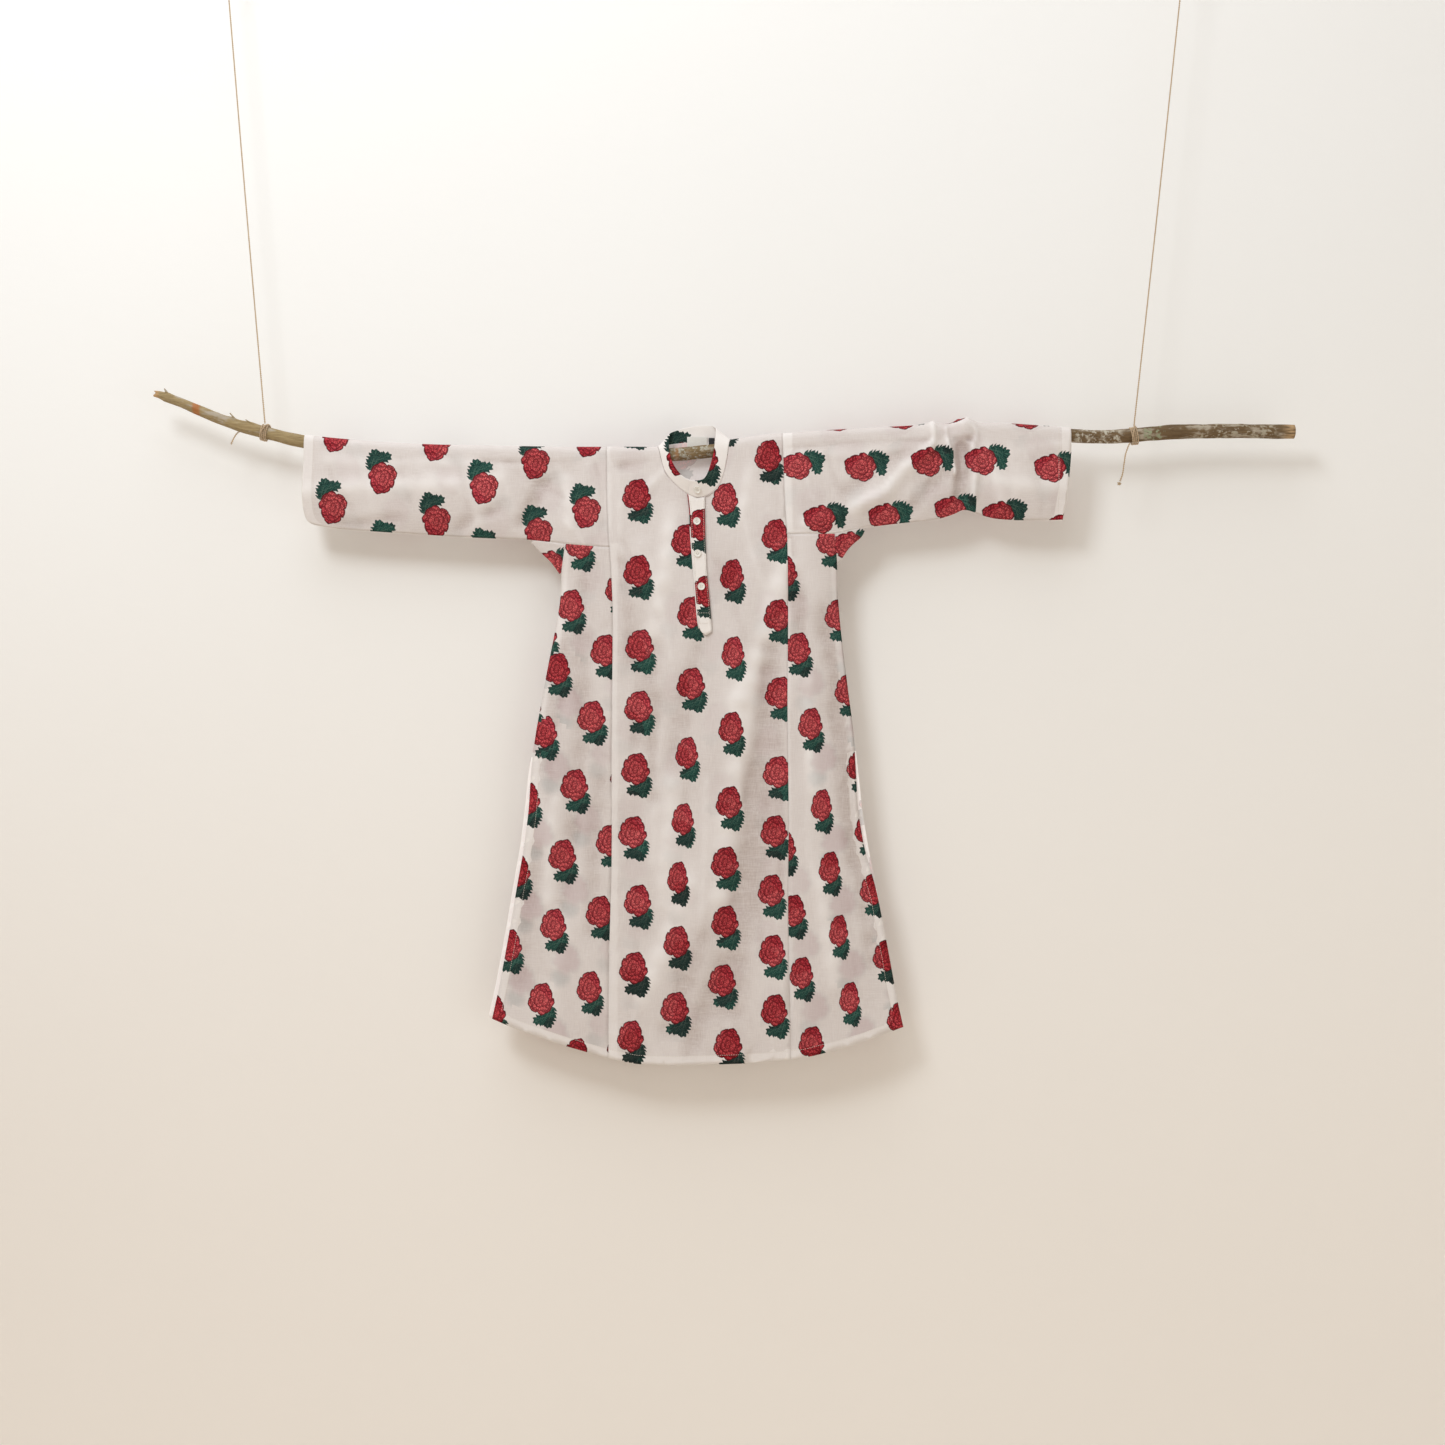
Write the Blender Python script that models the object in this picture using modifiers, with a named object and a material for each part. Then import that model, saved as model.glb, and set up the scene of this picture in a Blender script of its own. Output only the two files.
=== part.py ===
"""A long cotton kurta threaded by its sleeves on a branch that hangs from two strings.

The frame is in metres, with +Z up. The origin lies on the branch's centre line, midway
between its strings. The front of the kurta faces -Y, and +X is to the right from there.
The tables and sizes below are in millimetres, and MM turns them into metres.
"""

import math
from collections import namedtuple

import bmesh
import bpy
import numpy as np
from mathutils import Vector

MM = 0.001

# Cloth walls and the room between pieces
CLOTH_WALL = 1.2
COLLAR_WALL = 1.6
LABEL_WALL = 1.0
SEAM_GAP = 0.3
COLLAR_SEAT = 0.8
LAYER_STEP = CLOTH_WALL + 0.6
BRANCH_ROOM = 1.3
JOIN_GAP = 0.3

# How far the front and the back hang from the middle plane
FRONT_EASE = 16.0
BACK_EASE = 13.0
EDGE_REACH = 52.0
EDGE_GAP = (CLOTH_WALL + SEAM_GAP) / 2
GUSSET_FOLD_GAP = 2.0
YOKE_LOOK = -140.0
YOKE_END = 209.0
SLIT_TOP = -465.0
SLIT_SPREAD = 3.6
BACK_SHOWS = 7.0

# The front opening
SLIT_LEFT = -5.0
SLIT_RIGHT = -2.6
SLIT_END = -262.0
PLACKET_TIP_DROP = 6.0

# Buttons, strings and loops
BUTTON_RADIUS = 5.7
BUTTON_HEIGHT = 2.3
BUTTON_RIM = 1.2
STRING_RADIUS = 1.3
STRING_TOP = 727.0
KNOT_RADIUS = 3.6
LOOP_RADIUS = 9.0
WRAP_TURNS = 4

BranchPoint = namedtuple("BranchPoint", "x z radius")
BRANCH = tuple(
    BranchPoint(*row)
    for row in (
        (-848.6, 90.5, 5.0),
        (-842.0, 88.2, 7.4),
        (-811.0, 78.0, 7.8),
        (-772.0, 60.8, 8.2),
        (-723.8, 42.1, 9.4),
        (-678.6, 29.6, 10.1),
        (-614.6, 14.0, 10.5),
        (-546.0, 6.2, 10.6),
        (-432.0, -0.8, 10.7),
        (-312.0, -3.1, 10.7),
        (-218.0, -4.7, 10.7),
        (-145.0, -4.7, 10.7),
        (-45.0, -5.1, 10.7),
        (21.8, 1.6, 11.1),
        (93.6, 13.3, 11.0),
        (210.6, 21.8, 11.0),
        (358.8, 29.6, 11.0),
        (468.0, 32.8, 11.0),
        (577.2, 25.0, 10.9),
        (624.0, 23.4, 11.0),
        (677.0, 25.0, 11.3),
        (725.4, 31.2, 12.1),
        (780.0, 32.8, 11.7),
        (842.4, 32.3, 11.4),
        (926.6, 31.5, 11.7),
    )
)

# The branch is four solids end to end, so that each one's collision hull fits it closely
BranchPart = namedtuple("BranchPart", "name start end")
BRANCH_PARTS = (
    BranchPart("branch_left_end", -848.6, -489.0),
    BranchPart("branch_left", -489.0, -20.0),
    BranchPart("branch_middle", -20.0, 152.0),
    BranchPart("branch_right", 152.0, 926.6),
)

# Edges of the body at each height: outer edges and the seams of the centre panel
BodySection = namedtuple("BodySection", "z left_edge left_seam right_seam right_edge")
BODY = tuple(
    BodySection(*row)
    for row in (
        (24.0, -208.6, -145.0, 128.7, 208.6),
        (-75.0, -208.8, -144.2, 131.8, 208.8),
        (-128.0, -209.0, -142.0, 135.6, 209.2),
        (-146.0, -209.4, -140.6, 136.0, 210.8),
        (-168.0, -213.0, -138.8, 136.3, 213.2),
        (-192.0, -216.4, -137.4, 136.6, 214.4),
        (-217.0, -215.2, -136.2, 136.9, 214.0),
        (-252.0, -220.0, -135.2, 137.2, 217.2),
        (-298.0, -229.3, -135.4, 136.9, 220.6),
        (-345.0, -239.0, -135.9, 136.2, 227.8),
        (-401.0, -248.8, -136.5, 136.0, 234.2),
        (-452.0, -258.5, -137.2, 136.7, 241.8),
        (-505.0, -268.6, -137.4, 137.3, 247.6),
        (-574.0, -274.8, -136.7, 138.2, 254.6),
        (-635.0, -283.3, -136.9, 137.4, 266.0),
        (-691.0, -294.6, -138.0, 136.8, 277.6),
        (-746.0, -303.0, -140.2, 137.2, 287.2),
        (-794.0, -312.0, -141.3, 138.6, 296.6),
        (-838.0, -320.4, -141.6, 139.8, 303.5),
        (-896.0, -333.5, -142.0, 141.2, 316.7),
    )
)

HemPoint = namedtuple("HemPoint", "x z")
HEM = tuple(
    HemPoint(*row)
    for row in (
        (-331.0, -881.4),
        (-307.3, -890.8),
        (-209.0, -924.5),
        (-140.4, -943.8),
        (-98.3, -952.4),
        (-37.4, -954.7),
        (69.6, -951.6),
        (159.0, -943.8),
        (237.0, -924.5),
        (295.0, -903.2),
        (317.0, -896.0),
    )
)

# Lower edge of the sleeves, and on to the yoke line where the side panels begin
UnderarmPoint = namedtuple("UnderarmPoint", "x z")
UNDERARM = tuple(
    UnderarmPoint(*row)
    for row in (
        (-613.7, -107.6),
        (-603.7, -113.9),
        (-567.8, -119.3),
        (-514.8, -124.0),
        (-468.0, -126.4),
        (-358.8, -133.7),
        (-265.0, -137.0),
        (-209.0, -144.3),
        (-143.0, -150.0),
        (-60.0, -146.0),
        (44.0, -135.0),
        (135.7, -129.5),
        (209.0, -128.5),
        (257.0, -118.0),
        (312.0, -111.4),
        (371.3, -105.1),
        (397.8, -96.7),
        (408.7, -89.9),
        (419.6, -90.5),
        (436.8, -98.3),
        (464.9, -106.0),
        (502.3, -106.9),
        (564.7, -106.0),
    )
)

# Cuff edges
CuffPoint = namedtuple("CuffPoint", "z left right")
CUFFS = tuple(
    CuffPoint(*row)
    for row in (
        (-108.0, -613.7, 564.7),
        (-88.0, -618.6, 567.8),
        (-57.0, -619.0, 572.4),
        (-8.0, -616.0, 577.2),
        (41.0, -615.4, 577.2),
    )
)

# Fold line of each gusset, from the sleeve's underarm seam to the side seam
GUSSET_FOLDS = {
    "left": ((-265.0, -137.0), (-246.0, -157.0), (-231.5, -169.5), (-216.4, -191.0)),
    "right": ((257.0, -118.0), (251.0, -132.5), (240.0, -139.5), (228.0, -152.0), (214.2, -175.5)),
}

# Neck seam and the collar's lip in front, from the viewer's left to the right
NeckPoint = namedtuple("NeckPoint", "x z lip_x lip_z lean")
FRONT_NECK = tuple(
    NeckPoint(*row)
    for row in (
        (-62.4, -4.0, -48.6, 6.0, 3.0),
        (-60.0, -16.2, -46.6, -8.0, 4.5),
        (-54.1, -35.9, -42.0, -21.5, 7.0),
        (-38.2, -52.0, -31.0, -37.5, 9.0),
        (-22.3, -66.0, -18.4, -46.4, 10.5),
        (SLIT_LEFT, -73.6, -5.4, -48.0, 11.0),
        (SLIT_RIGHT, -73.8, -3.4, -48.0, 11.0),
        (11.5, -70.2, 7.6, -45.0, 10.5),
        (27.5, -59.6, 13.6, -33.5, 9.0),
        (36.3, -41.0, 17.6, -18.0, 6.5),
        (42.1, -16.2, 21.6, -3.0, 3.5),
        (44.6, 4.0, 23.4, 14.0, 1.5),
    )
)

# Places where the neck seam climbs over the branch, as degrees up from its front
CrestPoint = namedtuple("CrestPoint", "x turn lip_x lip_y lip_z")
LEFT_CREST = tuple(
    CrestPoint(*row)
    for row in (
        (-63.8, 32.0, -48.6, -9.0, 15.0),
        (-65.0, 62.0, -48.4, -4.0, 22.0),
        (-66.0, 90.0, -48.0, 1.0, 26.5),
    )
)
RIGHT_CREST = tuple(
    CrestPoint(*row)
    for row in (
        (46.0, 32.0, 24.0, -8.0, 22.0),
        (47.2, 62.0, 24.8, -4.0, 29.0),
        (48.2, 90.0, 25.4, 1.0, 34.0),
    )
)

# Neck seam and lip behind, from the viewer's left to the right
BackNeckPoint = namedtuple("BackNeckPoint", "x y z lip_x lip_y lip_z")
BACK_NECK = tuple(
    BackNeckPoint(*row)
    for row in (
        (-62.5, 6.5, 9.6, -46.6, 5.5, 29.4),
        (-54.0, 11.0, 11.4, -42.4, 10.5, 32.6),
        (-30.0, 13.8, 15.0, -26.4, 14.2, 38.8),
        (-8.0, 14.4, 16.6, -8.0, 15.0, 42.8),
        (14.0, 14.4, 17.4, 9.4, 15.0, 43.6),
        (34.0, 13.0, 18.6, 20.4, 12.8, 42.0),
        (44.0, 8.0, 20.2, 25.0, 7.2, 38.4),
    )
)

# Edges of the front's button strip
PlacketSection = namedtuple("PlacketSection", "z left right")
PLACKET = tuple(
    PlacketSection(*row)
    for row in (
        (-60.0, -18.9, 7.2),
        (-94.0, -14.8, 7.6),
        (-128.0, -14.0, 8.2),
        (-187.0, -9.4, 10.4),
        (-230.0, -5.8, 15.0),
        (-264.0, -3.0, 17.8),
        (-281.0, 0.0, 18.7),
    )
)
UNDER_STRIP_SHIFT = -1.6
UNDER_STRIP_END = -276.0

ButtonPlace = namedtuple("ButtonPlace", "x z")
BUTTONS = (
    ButtonPlace(-4.1, -60.0),
    ButtonPlace(-4.7, -109.7),
    ButtonPlace(-3.7, -159.6),
    ButtonPlace(2.2, -210.9),
)

# Largest folds: a ridge (height above 0) or a trough runs from start to end
Fold = namedtuple("Fold", "x0 z0 x1 z1 width height")
FRONT_FOLDS = tuple(
    Fold(*row)
    for row in (
        (412.0, 62.0, 414.0, 20.0, 12.0, 9.5),
        (362.0, 52.0, 366.0, 22.0, 7.0, 3.2),
        (405.0, 8.0, 407.0, -95.0, 7.0, -6.0),
        (388.0, 10.0, 392.0, -80.0, 8.0, 3.6),
        (424.0, 4.0, 424.0, -84.0, 9.0, 3.8),
        (366.0, 30.0, 250.0, -84.0, 13.0, 5.0),
        (352.0, -20.0, 300.0, -80.0, 12.0, -3.6),
        (92.0, -170.0, 24.0, -470.0, 16.0, 4.6),
        (126.0, -300.0, 84.0, -520.0, 17.0, -4.6),
        (84.0, -520.0, 96.0, -720.0, 24.0, -6.0),
        (40.0, -480.0, -6.0, -800.0, 18.0, 4.4),
        (46.0, -700.0, 22.0, -890.0, 15.0, -5.0),
        (-52.0, -800.0, -112.0, -905.0, 12.0, 4.0),
        (-40.0, -215.0, -112.0, -365.0, 15.0, -3.8),
        (-88.0, -150.0, -118.0, -300.0, 14.0, 3.0),
        (-60.0, -420.0, -104.0, -640.0, 18.0, -3.4),
        (190.0, -240.0, 200.0, -470.0, 13.0, -3.6),
        (176.0, -560.0, 214.0, -860.0, 15.0, 4.2),
        (240.0, -640.0, 262.0, -870.0, 12.0, -3.6),
        (-190.0, -300.0, -232.0, -560.0, 14.0, 3.4),
        (-214.0, -600.0, -262.0, -850.0, 15.0, -3.6),
        (-168.0, -640.0, -190.0, -880.0, 13.0, 3.4),
        (-200.0, -30.0, -262.0, -98.0, 13.0, -3.2),
        (-170.0, -20.0, -206.0, -112.0, 12.0, 3.2),
        (-330.0, -60.0, -560.0, -46.0, 16.0, 2.8),
    )
)
BACK_FOLDS = tuple(
    Fold(*row)
    for row in (
        (-70.0, -110.0, -30.0, -420.0, 18.0, 4.2),
        (70.0, -140.0, 40.0, -520.0, 17.0, -4.4),
        (10.0, -400.0, 40.0, -880.0, 20.0, 5.0),
        (-90.0, -520.0, -60.0, -860.0, 18.0, -4.6),
        (196.0, -300.0, 236.0, -820.0, 16.0, 3.8),
        (-196.0, -260.0, -246.0, -800.0, 16.0, -3.8),
        (180.0, -30.0, 300.0, -84.0, 14.0, 3.4),
        (-190.0, -26.0, -320.0, -96.0, 14.0, 3.4),
        (408.0, 10.0, 402.0, -80.0, 8.0, 3.2),
        (-380.0, -50.0, -560.0, -60.0, 16.0, 2.6),
    )
)

# Shares of the way down, for the rows of every grid
UPPER_ROWS = (0.0, 0.035, 0.07, 0.105, 0.18, 0.30, 0.44, 0.60, 0.76, 0.90, 1.0)
BODY_ROWS = (
    (0.0, 0.02, 0.04, 0.063, 0.12, 0.19, 0.26, 0.33, 0.40)
    + (0.48, 0.56, 0.64, 0.72, 0.80, 0.88, 0.94, 1.0)
)
GUSSET_TIP_ROW = 3
SIDE_COLUMNS = (0.0, 0.2, 0.4, 0.6, 0.8, 1.0)
LEFT_SLEEVE_COLUMNS = (
    (-157.0, -170.0, -183.0, -196.0, -209.0, -237.0, -265.0)
    + (-298.0, -334.0, -371.0, -410.0, -450.0, -490.0, -530.0, -568.0, -603.0)
)
RIGHT_SLEEVE_COLUMNS = (
    (150.0, 165.0, 180.0, 195.0, 209.0, 233.0, 257.0, 284.0, 311.0, 336.0, 357.0, 371.0)
    + (383.0, 392.0, 400.0, 407.0, 415.0, 424.0, 436.0, 458.0, 490.0, 524.0, 554.0)
)
COLLAR_ROWS = (0.0, 0.5, 1.0)

# Routes of the strings and their loose ends
STRING_FEET = {"left": -678.6, "right": 677.0}
STRING_HEADS = {"left": -736.6, "right": 751.0}
WRAP_LOOK = 12.0
TAILS = {
    "left": (
        (-686.4, 10.6, 27.0),
        (-700.0, 10.9, 31.0),
        (-713.0, 10.4, 34.5),
        (-722.0, 8.4, 32.0),
        (-727.5, 4.6, 23.5),
        (-731.6, 0.5, 12.0),
    ),
    "right": (
        (669.7, -5.6, 13.6),
        (666.2, -7.8, 6.6),
        (662.4, -8.6, -4.0),
        (660.2, -8.4, -18.0),
        (657.8, -7.8, -35.0),
        (654.0, -7.1, -46.4),
    ),
}
TAIL_KNOT = (652.6, -7.0, -50.1)

CLOTH_COLOUR = (0.84, 0.79, 0.74)
BARK_COLOUR = (0.24, 0.19, 0.15)
JUTE_COLOUR = (0.50, 0.37, 0.22)
BUTTON_COLOUR = (0.90, 0.88, 0.84)
LABEL_COLOUR = (0.92, 0.91, 0.89)
TAB_COLOUR = (0.04, 0.04, 0.045)


def column(table, field):
    return [getattr(row, field) for row in table]


def look_up(table, key, field, value):
    """The value in one column of a table where its key column has this value."""
    keys = column(table, key)
    values = column(table, field)
    if keys[0] > keys[-1]:
        keys, values = keys[::-1], values[::-1]
    return float(np.interp(value, keys, values))


def ease(share):
    share = min(max(share, 0.0), 1.0)
    return share * share * (3 - 2 * share)


def mix(low, high, share):
    return low + (high - low) * share


def branch_height(x):
    return look_up(BRANCH, "x", "z", x)


def wrap_radius(x):
    """Radius of the cloth's middle where it bends over the branch."""
    return look_up(BRANCH, "x", "radius", x) + BRANCH_ROOM + CLOTH_WALL / 2


def closed_edge(side):
    """The line where front and back are joined, from the cuff to the hem."""
    sign = -1 if side == "left" else 1
    reach = abs(GUSSET_FOLDS[side][0][0])
    arm = [(p.x, p.z) for p in UNDERARM if sign * p.x > reach]
    arm.sort(key=lambda point: -abs(point[0]))
    field = side + "_edge"
    tip = GUSSET_FOLDS[side][-1][1]
    flank = [(getattr(s, field), s.z) for s in BODY if s.z < tip]
    return arm + list(GUSSET_FOLDS[side]) + flank


CLOSED_EDGES = {side: np.array(closed_edge(side)) for side in ("left", "right")}


def distance_to_line(x, z, line):
    point = np.array((x, z))
    start, run = line[:-1], line[1:] - line[:-1]
    share = np.clip(((point - start) * run).sum(axis=1) / (run * run).sum(axis=1), 0, 1)
    return float(np.linalg.norm(start + run * share[:, None] - point, axis=1).min())


def fold_height(x, z, folds):
    """How far the folds push the cloth outwards at this place."""
    total = 0.0
    for fold in folds:
        run_x, run_z = fold.x1 - fold.x0, fold.z1 - fold.z0
        length = math.hypot(run_x, run_z)
        along = ((x - fold.x0) * run_x + (z - fold.z0) * run_z) / length
        across = ((x - fold.x0) * run_z - (z - fold.z0) * run_x) / length
        past = max(-along, along - length, 0.0) / (1.4 * fold.width)
        if past < 1.0 and abs(across) < 3 * fold.width:
            fade = 1 - ease(past)
            total += fold.height * fade * math.exp(-((across / fold.width) ** 2))
    return total


def edge_gap(x, z):
    """Half of the room between front and back along the line that joins them."""
    if z < SLIT_TOP:
        return EDGE_GAP + SLIT_SPREAD * ease((SLIT_TOP - z) / 260.0)
    if z > -200.0 and 206.0 < abs(x) < 268.0:
        return mix(EDGE_GAP, GUSSET_FOLD_GAP, math.sin(math.pi * (abs(x) - 206.0) / 62.0))
    return EDGE_GAP


def half_gap(x, z, face):
    """Distance of the front's or the back's middle surface from the plane Y = 0."""
    side = "left" if x < 0 else "right"
    near = distance_to_line(x, z, CLOSED_EDGES[side])
    swell = 1 - (1 - min(near / EDGE_REACH, 1.0)) ** 2
    below = branch_height(x) - z
    fullness = mix(1.0, 0.0, ease((abs(x) - 180.0) / 110.0))
    target = FRONT_EASE if face == "front" else BACK_EASE
    radius = wrap_radius(x)
    free = mix(radius, target, ease((below - 14.0) / 160.0) * fullness)
    fold = fold_height(x, z, FRONT_FOLDS if face == "front" else BACK_FOLDS)
    if below < 2 * radius:
        fold = max(fold, 0.0)
    free = max(free + fold, 4.0)
    gap = edge_gap(x, z)
    return gap + (free - gap) * swell


def outward(face):
    return -1.0 if face == "front" else 1.0


def hang(x, z, face, lift=0.0):
    """A point of the hanging cloth; lift moves it out from the panel."""
    return (x, outward(face) * (half_gap(x, z, face) + lift), z)


def over_branch(x, turn, face, top_y=0.0, top_z=None):
    """A point of the cloth where it bends over the branch, turn degrees up from its side."""
    centre = branch_height(x)
    fold = max(fold_height(x, centre + wrap_radius(x), FRONT_FOLDS), 0.0)
    side_fold = half_gap(x, centre, face) - wrap_radius(x)
    lifted = mix(max(side_fold, 0.0), fold, math.sin(math.radians(turn)))
    radius = wrap_radius(x) + lifted
    rise = (top_z - centre) if top_z is not None else radius
    height = centre + rise * math.sin(math.radians(turn))
    reach = top_y + (radius - top_y) * math.cos(math.radians(turn))
    return (x, outward(face) * reach, height)


def column_points(top, lower_x, end_z, face, shares):
    """One column of a panel: over the branch, if it starts there, and down to end_z.

    top is (x, turn, y, z), with turn 0 for a column that starts below the branch.
    lower_x gives the column's x at a height, and the column leaves its top x for it.
    """
    x, turn, top_y, top_z = top
    radius = wrap_radius(x)
    if top_y:
        radius += abs(top_z - branch_height(x) - radius) / 2
    arc = math.radians(turn) * radius
    start_z = branch_height(x) if turn > 0 else top_z
    length = arc + start_z - end_z
    points = []
    for share in shares:
        run = share * length
        if run < arc:
            left = turn * (1 - run / arc)
            if top_y:
                points.append(over_branch(x, left, face, top_y, top_z))
            else:
                points.append(over_branch(x, left, face))
            continue
        z = start_z - (run - arc)
        blend = ease((start_z - z) / (start_z - end_z))
        points.append(hang(mix(x, lower_x(z), blend), z, face))
    return points


def body_edge(z, field):
    return look_up(BODY, "z", field, z)


def seam_column(side, trim, face, shares, end_z):
    """The column along the seam between a sleeve and the centre panel."""
    field = side + "_seam"
    x = body_edge(24.0, field)
    radius = wrap_radius(x)
    arc = math.pi / 2 * radius
    centre = branch_height(x)
    length = arc + centre - end_z
    points = []
    for share in shares:
        run = share * length
        if run < arc:
            points.append(over_branch(x + trim, 90 * (1 - run / arc), face))
            continue
        z = centre - (run - arc)
        points.append(hang(body_edge(z, field) + trim, z, face))
    return points


def centre_tops(face):
    """Where each column of a centre panel starts: x, turn, y and z."""
    tops = [(-118.0, 90.0, 0.0, None), (-90.0, 90.0, 0.0, None)]
    tops += [(p.x, p.turn, 0.0, None) for p in reversed(LEFT_CREST)]
    tops += [(p.x, 0.0, 0.0, p.z) for p in FRONT_NECK]
    tops += [(p.x, p.turn, 0.0, None) for p in RIGHT_CREST]
    tops += [(74.0, 90.0, 0.0, None), (102.0, 90.0, 0.0, None)]
    if face == "front":
        return tops
    tops = [(-118.0, 90.0, 0.0, None), (-90.0, 90.0, 0.0, None), (-67.0, 90.0, 0.0, None)]
    tops += [(p.x, 90.0, p.y, p.z) for p in BACK_NECK]
    tops += [(49.2, 90.0, 0.0, None), (74.0, 90.0, 0.0, None), (102.0, 90.0, 0.0, None)]
    return tops


def lower_part(share, face, inner, outer, trim_inner, trim_outer):
    """The body rows below the yoke line of one column between two edges."""
    points = []
    top_x = mix(inner(YOKE_LOOK), outer(YOKE_LOOK), share)
    top_z = look_up(UNDERARM, "x", "z", min(max(top_x, -YOKE_END), YOKE_END))
    low_x = mix(inner(BODY[-1].z), outer(BODY[-1].z), share)
    low_z = look_up(HEM, "x", "z", low_x)
    for row in BODY_ROWS:
        z = mix(top_z, low_z, row)
        x = mix(inner(z) + trim_inner, outer(z) + trim_outer, share)
        points.append(hang(x, z, face))
    return points


def centre_panel(face):
    half = SEAM_GAP / 2
    tops = centre_tops(face)
    count = len(tops) + 1

    def left(z):
        return body_edge(z, "left_seam")

    def right(z):
        return body_edge(z, "right_seam")

    columns = []
    for index in range(count + 1):
        share = index / count
        lower = lower_part(share, face, left, right, half, -half)
        end_z = lower[0][2]
        if index == 0:
            upper = seam_column("left", half, face, UPPER_ROWS, end_z)
        elif index == count:
            upper = seam_column("right", -half, face, UPPER_ROWS, end_z)
        else:
            def even(z, share=share):
                return mix(left(z) + half, right(z) - half, share)

            upper = column_points(tops[index - 1], even, end_z, face, UPPER_ROWS)
        columns.append(trimmed(upper) + lower[1:])
    return rows_of(columns)


def trimmed(points):
    """The column with its first point half a seam gap further down the cloth."""
    first, second = Vector(points[0]), Vector(points[1])
    step = (second - first).normalized() * (SEAM_GAP / 2)
    return [tuple(first + step)] + points[1:]


def rows_of(columns):
    return [list(row) for row in zip(*columns)]


def split_at(rows, index):
    """Two grids from one, cut along a row, with half a seam gap taken from each."""
    half = SEAM_GAP / 2
    above = [(x, y, z + half) for x, y, z in rows[index]]
    below = [(x, y, z - half) for x, y, z in rows[index]]
    return rows[:index] + [above], [below] + rows[index + 1:]


def slit_faces(rows):
    """The cells of the front that the button opening takes out, as (row, column)."""
    column_index = 1 + 2 + len(LEFT_CREST) + [p.x for p in FRONT_NECK].index(SLIT_LEFT)
    return {
        (index, column_index)
        for index in range(len(rows) - 1)
        if rows[index + 1][column_index][2] > SLIT_END
    }


def back_shows(side, z):
    """How far the back reaches past the front beside the side slits."""
    opened = ease((SLIT_TOP - z) / 60.0)
    if side == "right":
        opened *= 1 - ease((-620.0 - z) / 80.0)
    return BACK_SHOWS * opened


def side_panel(side, face):
    half = SEAM_GAP / 2
    sign = -1 if side == "left" else 1

    def inner(z):
        return body_edge(z, side + "_seam")

    def outer(z):
        kept = back_shows(side, z) if face == "front" else 0.0
        return body_edge(z, side + "_edge") - sign * kept

    columns = []
    for share in SIDE_COLUMNS:
        lower = lower_part(share, face, inner, outer, sign * half, 0.0)
        columns.append(trimmed(lower))
    return rows_of(columns if side == "right" else columns[::-1])


def sleeve(side):
    """Front rows from the lower edge up, over the branch, and the back rows down."""
    sign = -1 if side == "left" else 1
    half = SEAM_GAP / 2
    stations = LEFT_SLEEVE_COLUMNS if side == "left" else RIGHT_SLEEVE_COLUMNS
    seam_end = lower_part(0.0 if side == "left" else 1.0, "front",
                          lambda z: body_edge(z, "left_seam"),
                          lambda z: body_edge(z, "right_seam"), 0.0, 0.0)[0][2]
    columns = []
    for index in range(len(stations) + 2):
        halves = []
        for face in ("front", "back"):
            if index == 0:
                points = seam_column(side, sign * half, face, UPPER_ROWS, seam_end + half)
            elif index <= len(stations):
                x = stations[index - 1]
                end_z = look_up(UNDERARM, "x", "z", x) + half
                points = column_points((x, 90.0, 0.0, None), lambda z, x=x: x, end_z, face,
                                       UPPER_ROWS)
            else:
                points = cuff_column(side, face)
            halves.append(points)
        columns.append(halves[0][::-1] + halves[1][1:])
    return rows_of(columns)


def cuff_column(side, face):
    x = CUFFS[-1].left if side == "left" else CUFFS[-1].right
    end_z = CUFFS[0].z + (0.4 if side == "left" else 2.0)
    points = column_points((x, 90.0, 0.0, None), lambda z: x, end_z, face, UPPER_ROWS)
    moved = []
    for point in points:
        edge = look_up(CUFFS, "z", side, point[2])
        moved.append((edge, point[1], point[2]))
    return moved


def gusset(side):
    """A diamond folded in two: its rows run from the front seam round the fold to the back."""
    sign = -1 if side == "left" else 1
    half = SEAM_GAP / 2
    fold = np.array(GUSSET_FOLDS[side])
    corner_x = body_edge(-140.0, side + "_edge")
    arm_x = fold[0][0]
    inner = []
    for share in (0.1, 0.34, 0.5, 0.75, 1.0):
        x = mix(arm_x, corner_x + sign * half * 2, share)
        inner.append((x, look_up(UNDERARM, "x", "z", x) - half))
    edge_rows = lower_part(1.0, "front", lambda z: body_edge(z, side + "_seam"),
                           lambda z: body_edge(z, side + "_edge"), 0.0, 0.0)
    for row, raised in ((1, 0.0), (2, 0.0), (GUSSET_TIP_ROW, 2.4)):
        x, _, z = edge_rows[row]
        inner.append((x + sign * half * 2, z + raised))
    steps = np.linspace(0.06, 0.97, len(inner))
    lengths = np.concatenate([[0], np.cumsum(np.linalg.norm(np.diff(fold, axis=0), axis=1))])
    lengths /= lengths[-1]
    columns = []
    for (x, z), step in zip(inner, steps):
        edge_x = float(np.interp(step, lengths, fold[:, 0]))
        edge_z = float(np.interp(step, lengths, fold[:, 1]))
        middle = (mix(x, edge_x, 0.5), mix(z, edge_z, 0.5))
        away = Vector((edge_x - x, edge_z - z)).normalized() * 1.4
        columns.append([
            hang(x, z, "front"),
            hang(*middle, "front"),
            hang(edge_x, edge_z, "front"),
            (edge_x + away.x, 0.0, edge_z + away.y),
            hang(edge_x, edge_z, "back"),
            hang(*middle, "back"),
            hang(x, z, "back"),
        ])
    return rows_of(columns)


def collar_rib(seam, lip):
    """A rib of the collar, from just above the neck seam to the lip."""
    seam, lip = Vector(seam), Vector(lip)
    foot = seam + (lip - seam).normalized() * COLLAR_SEAT
    return [tuple(foot.lerp(lip, share)) for share in COLLAR_ROWS]


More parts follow.
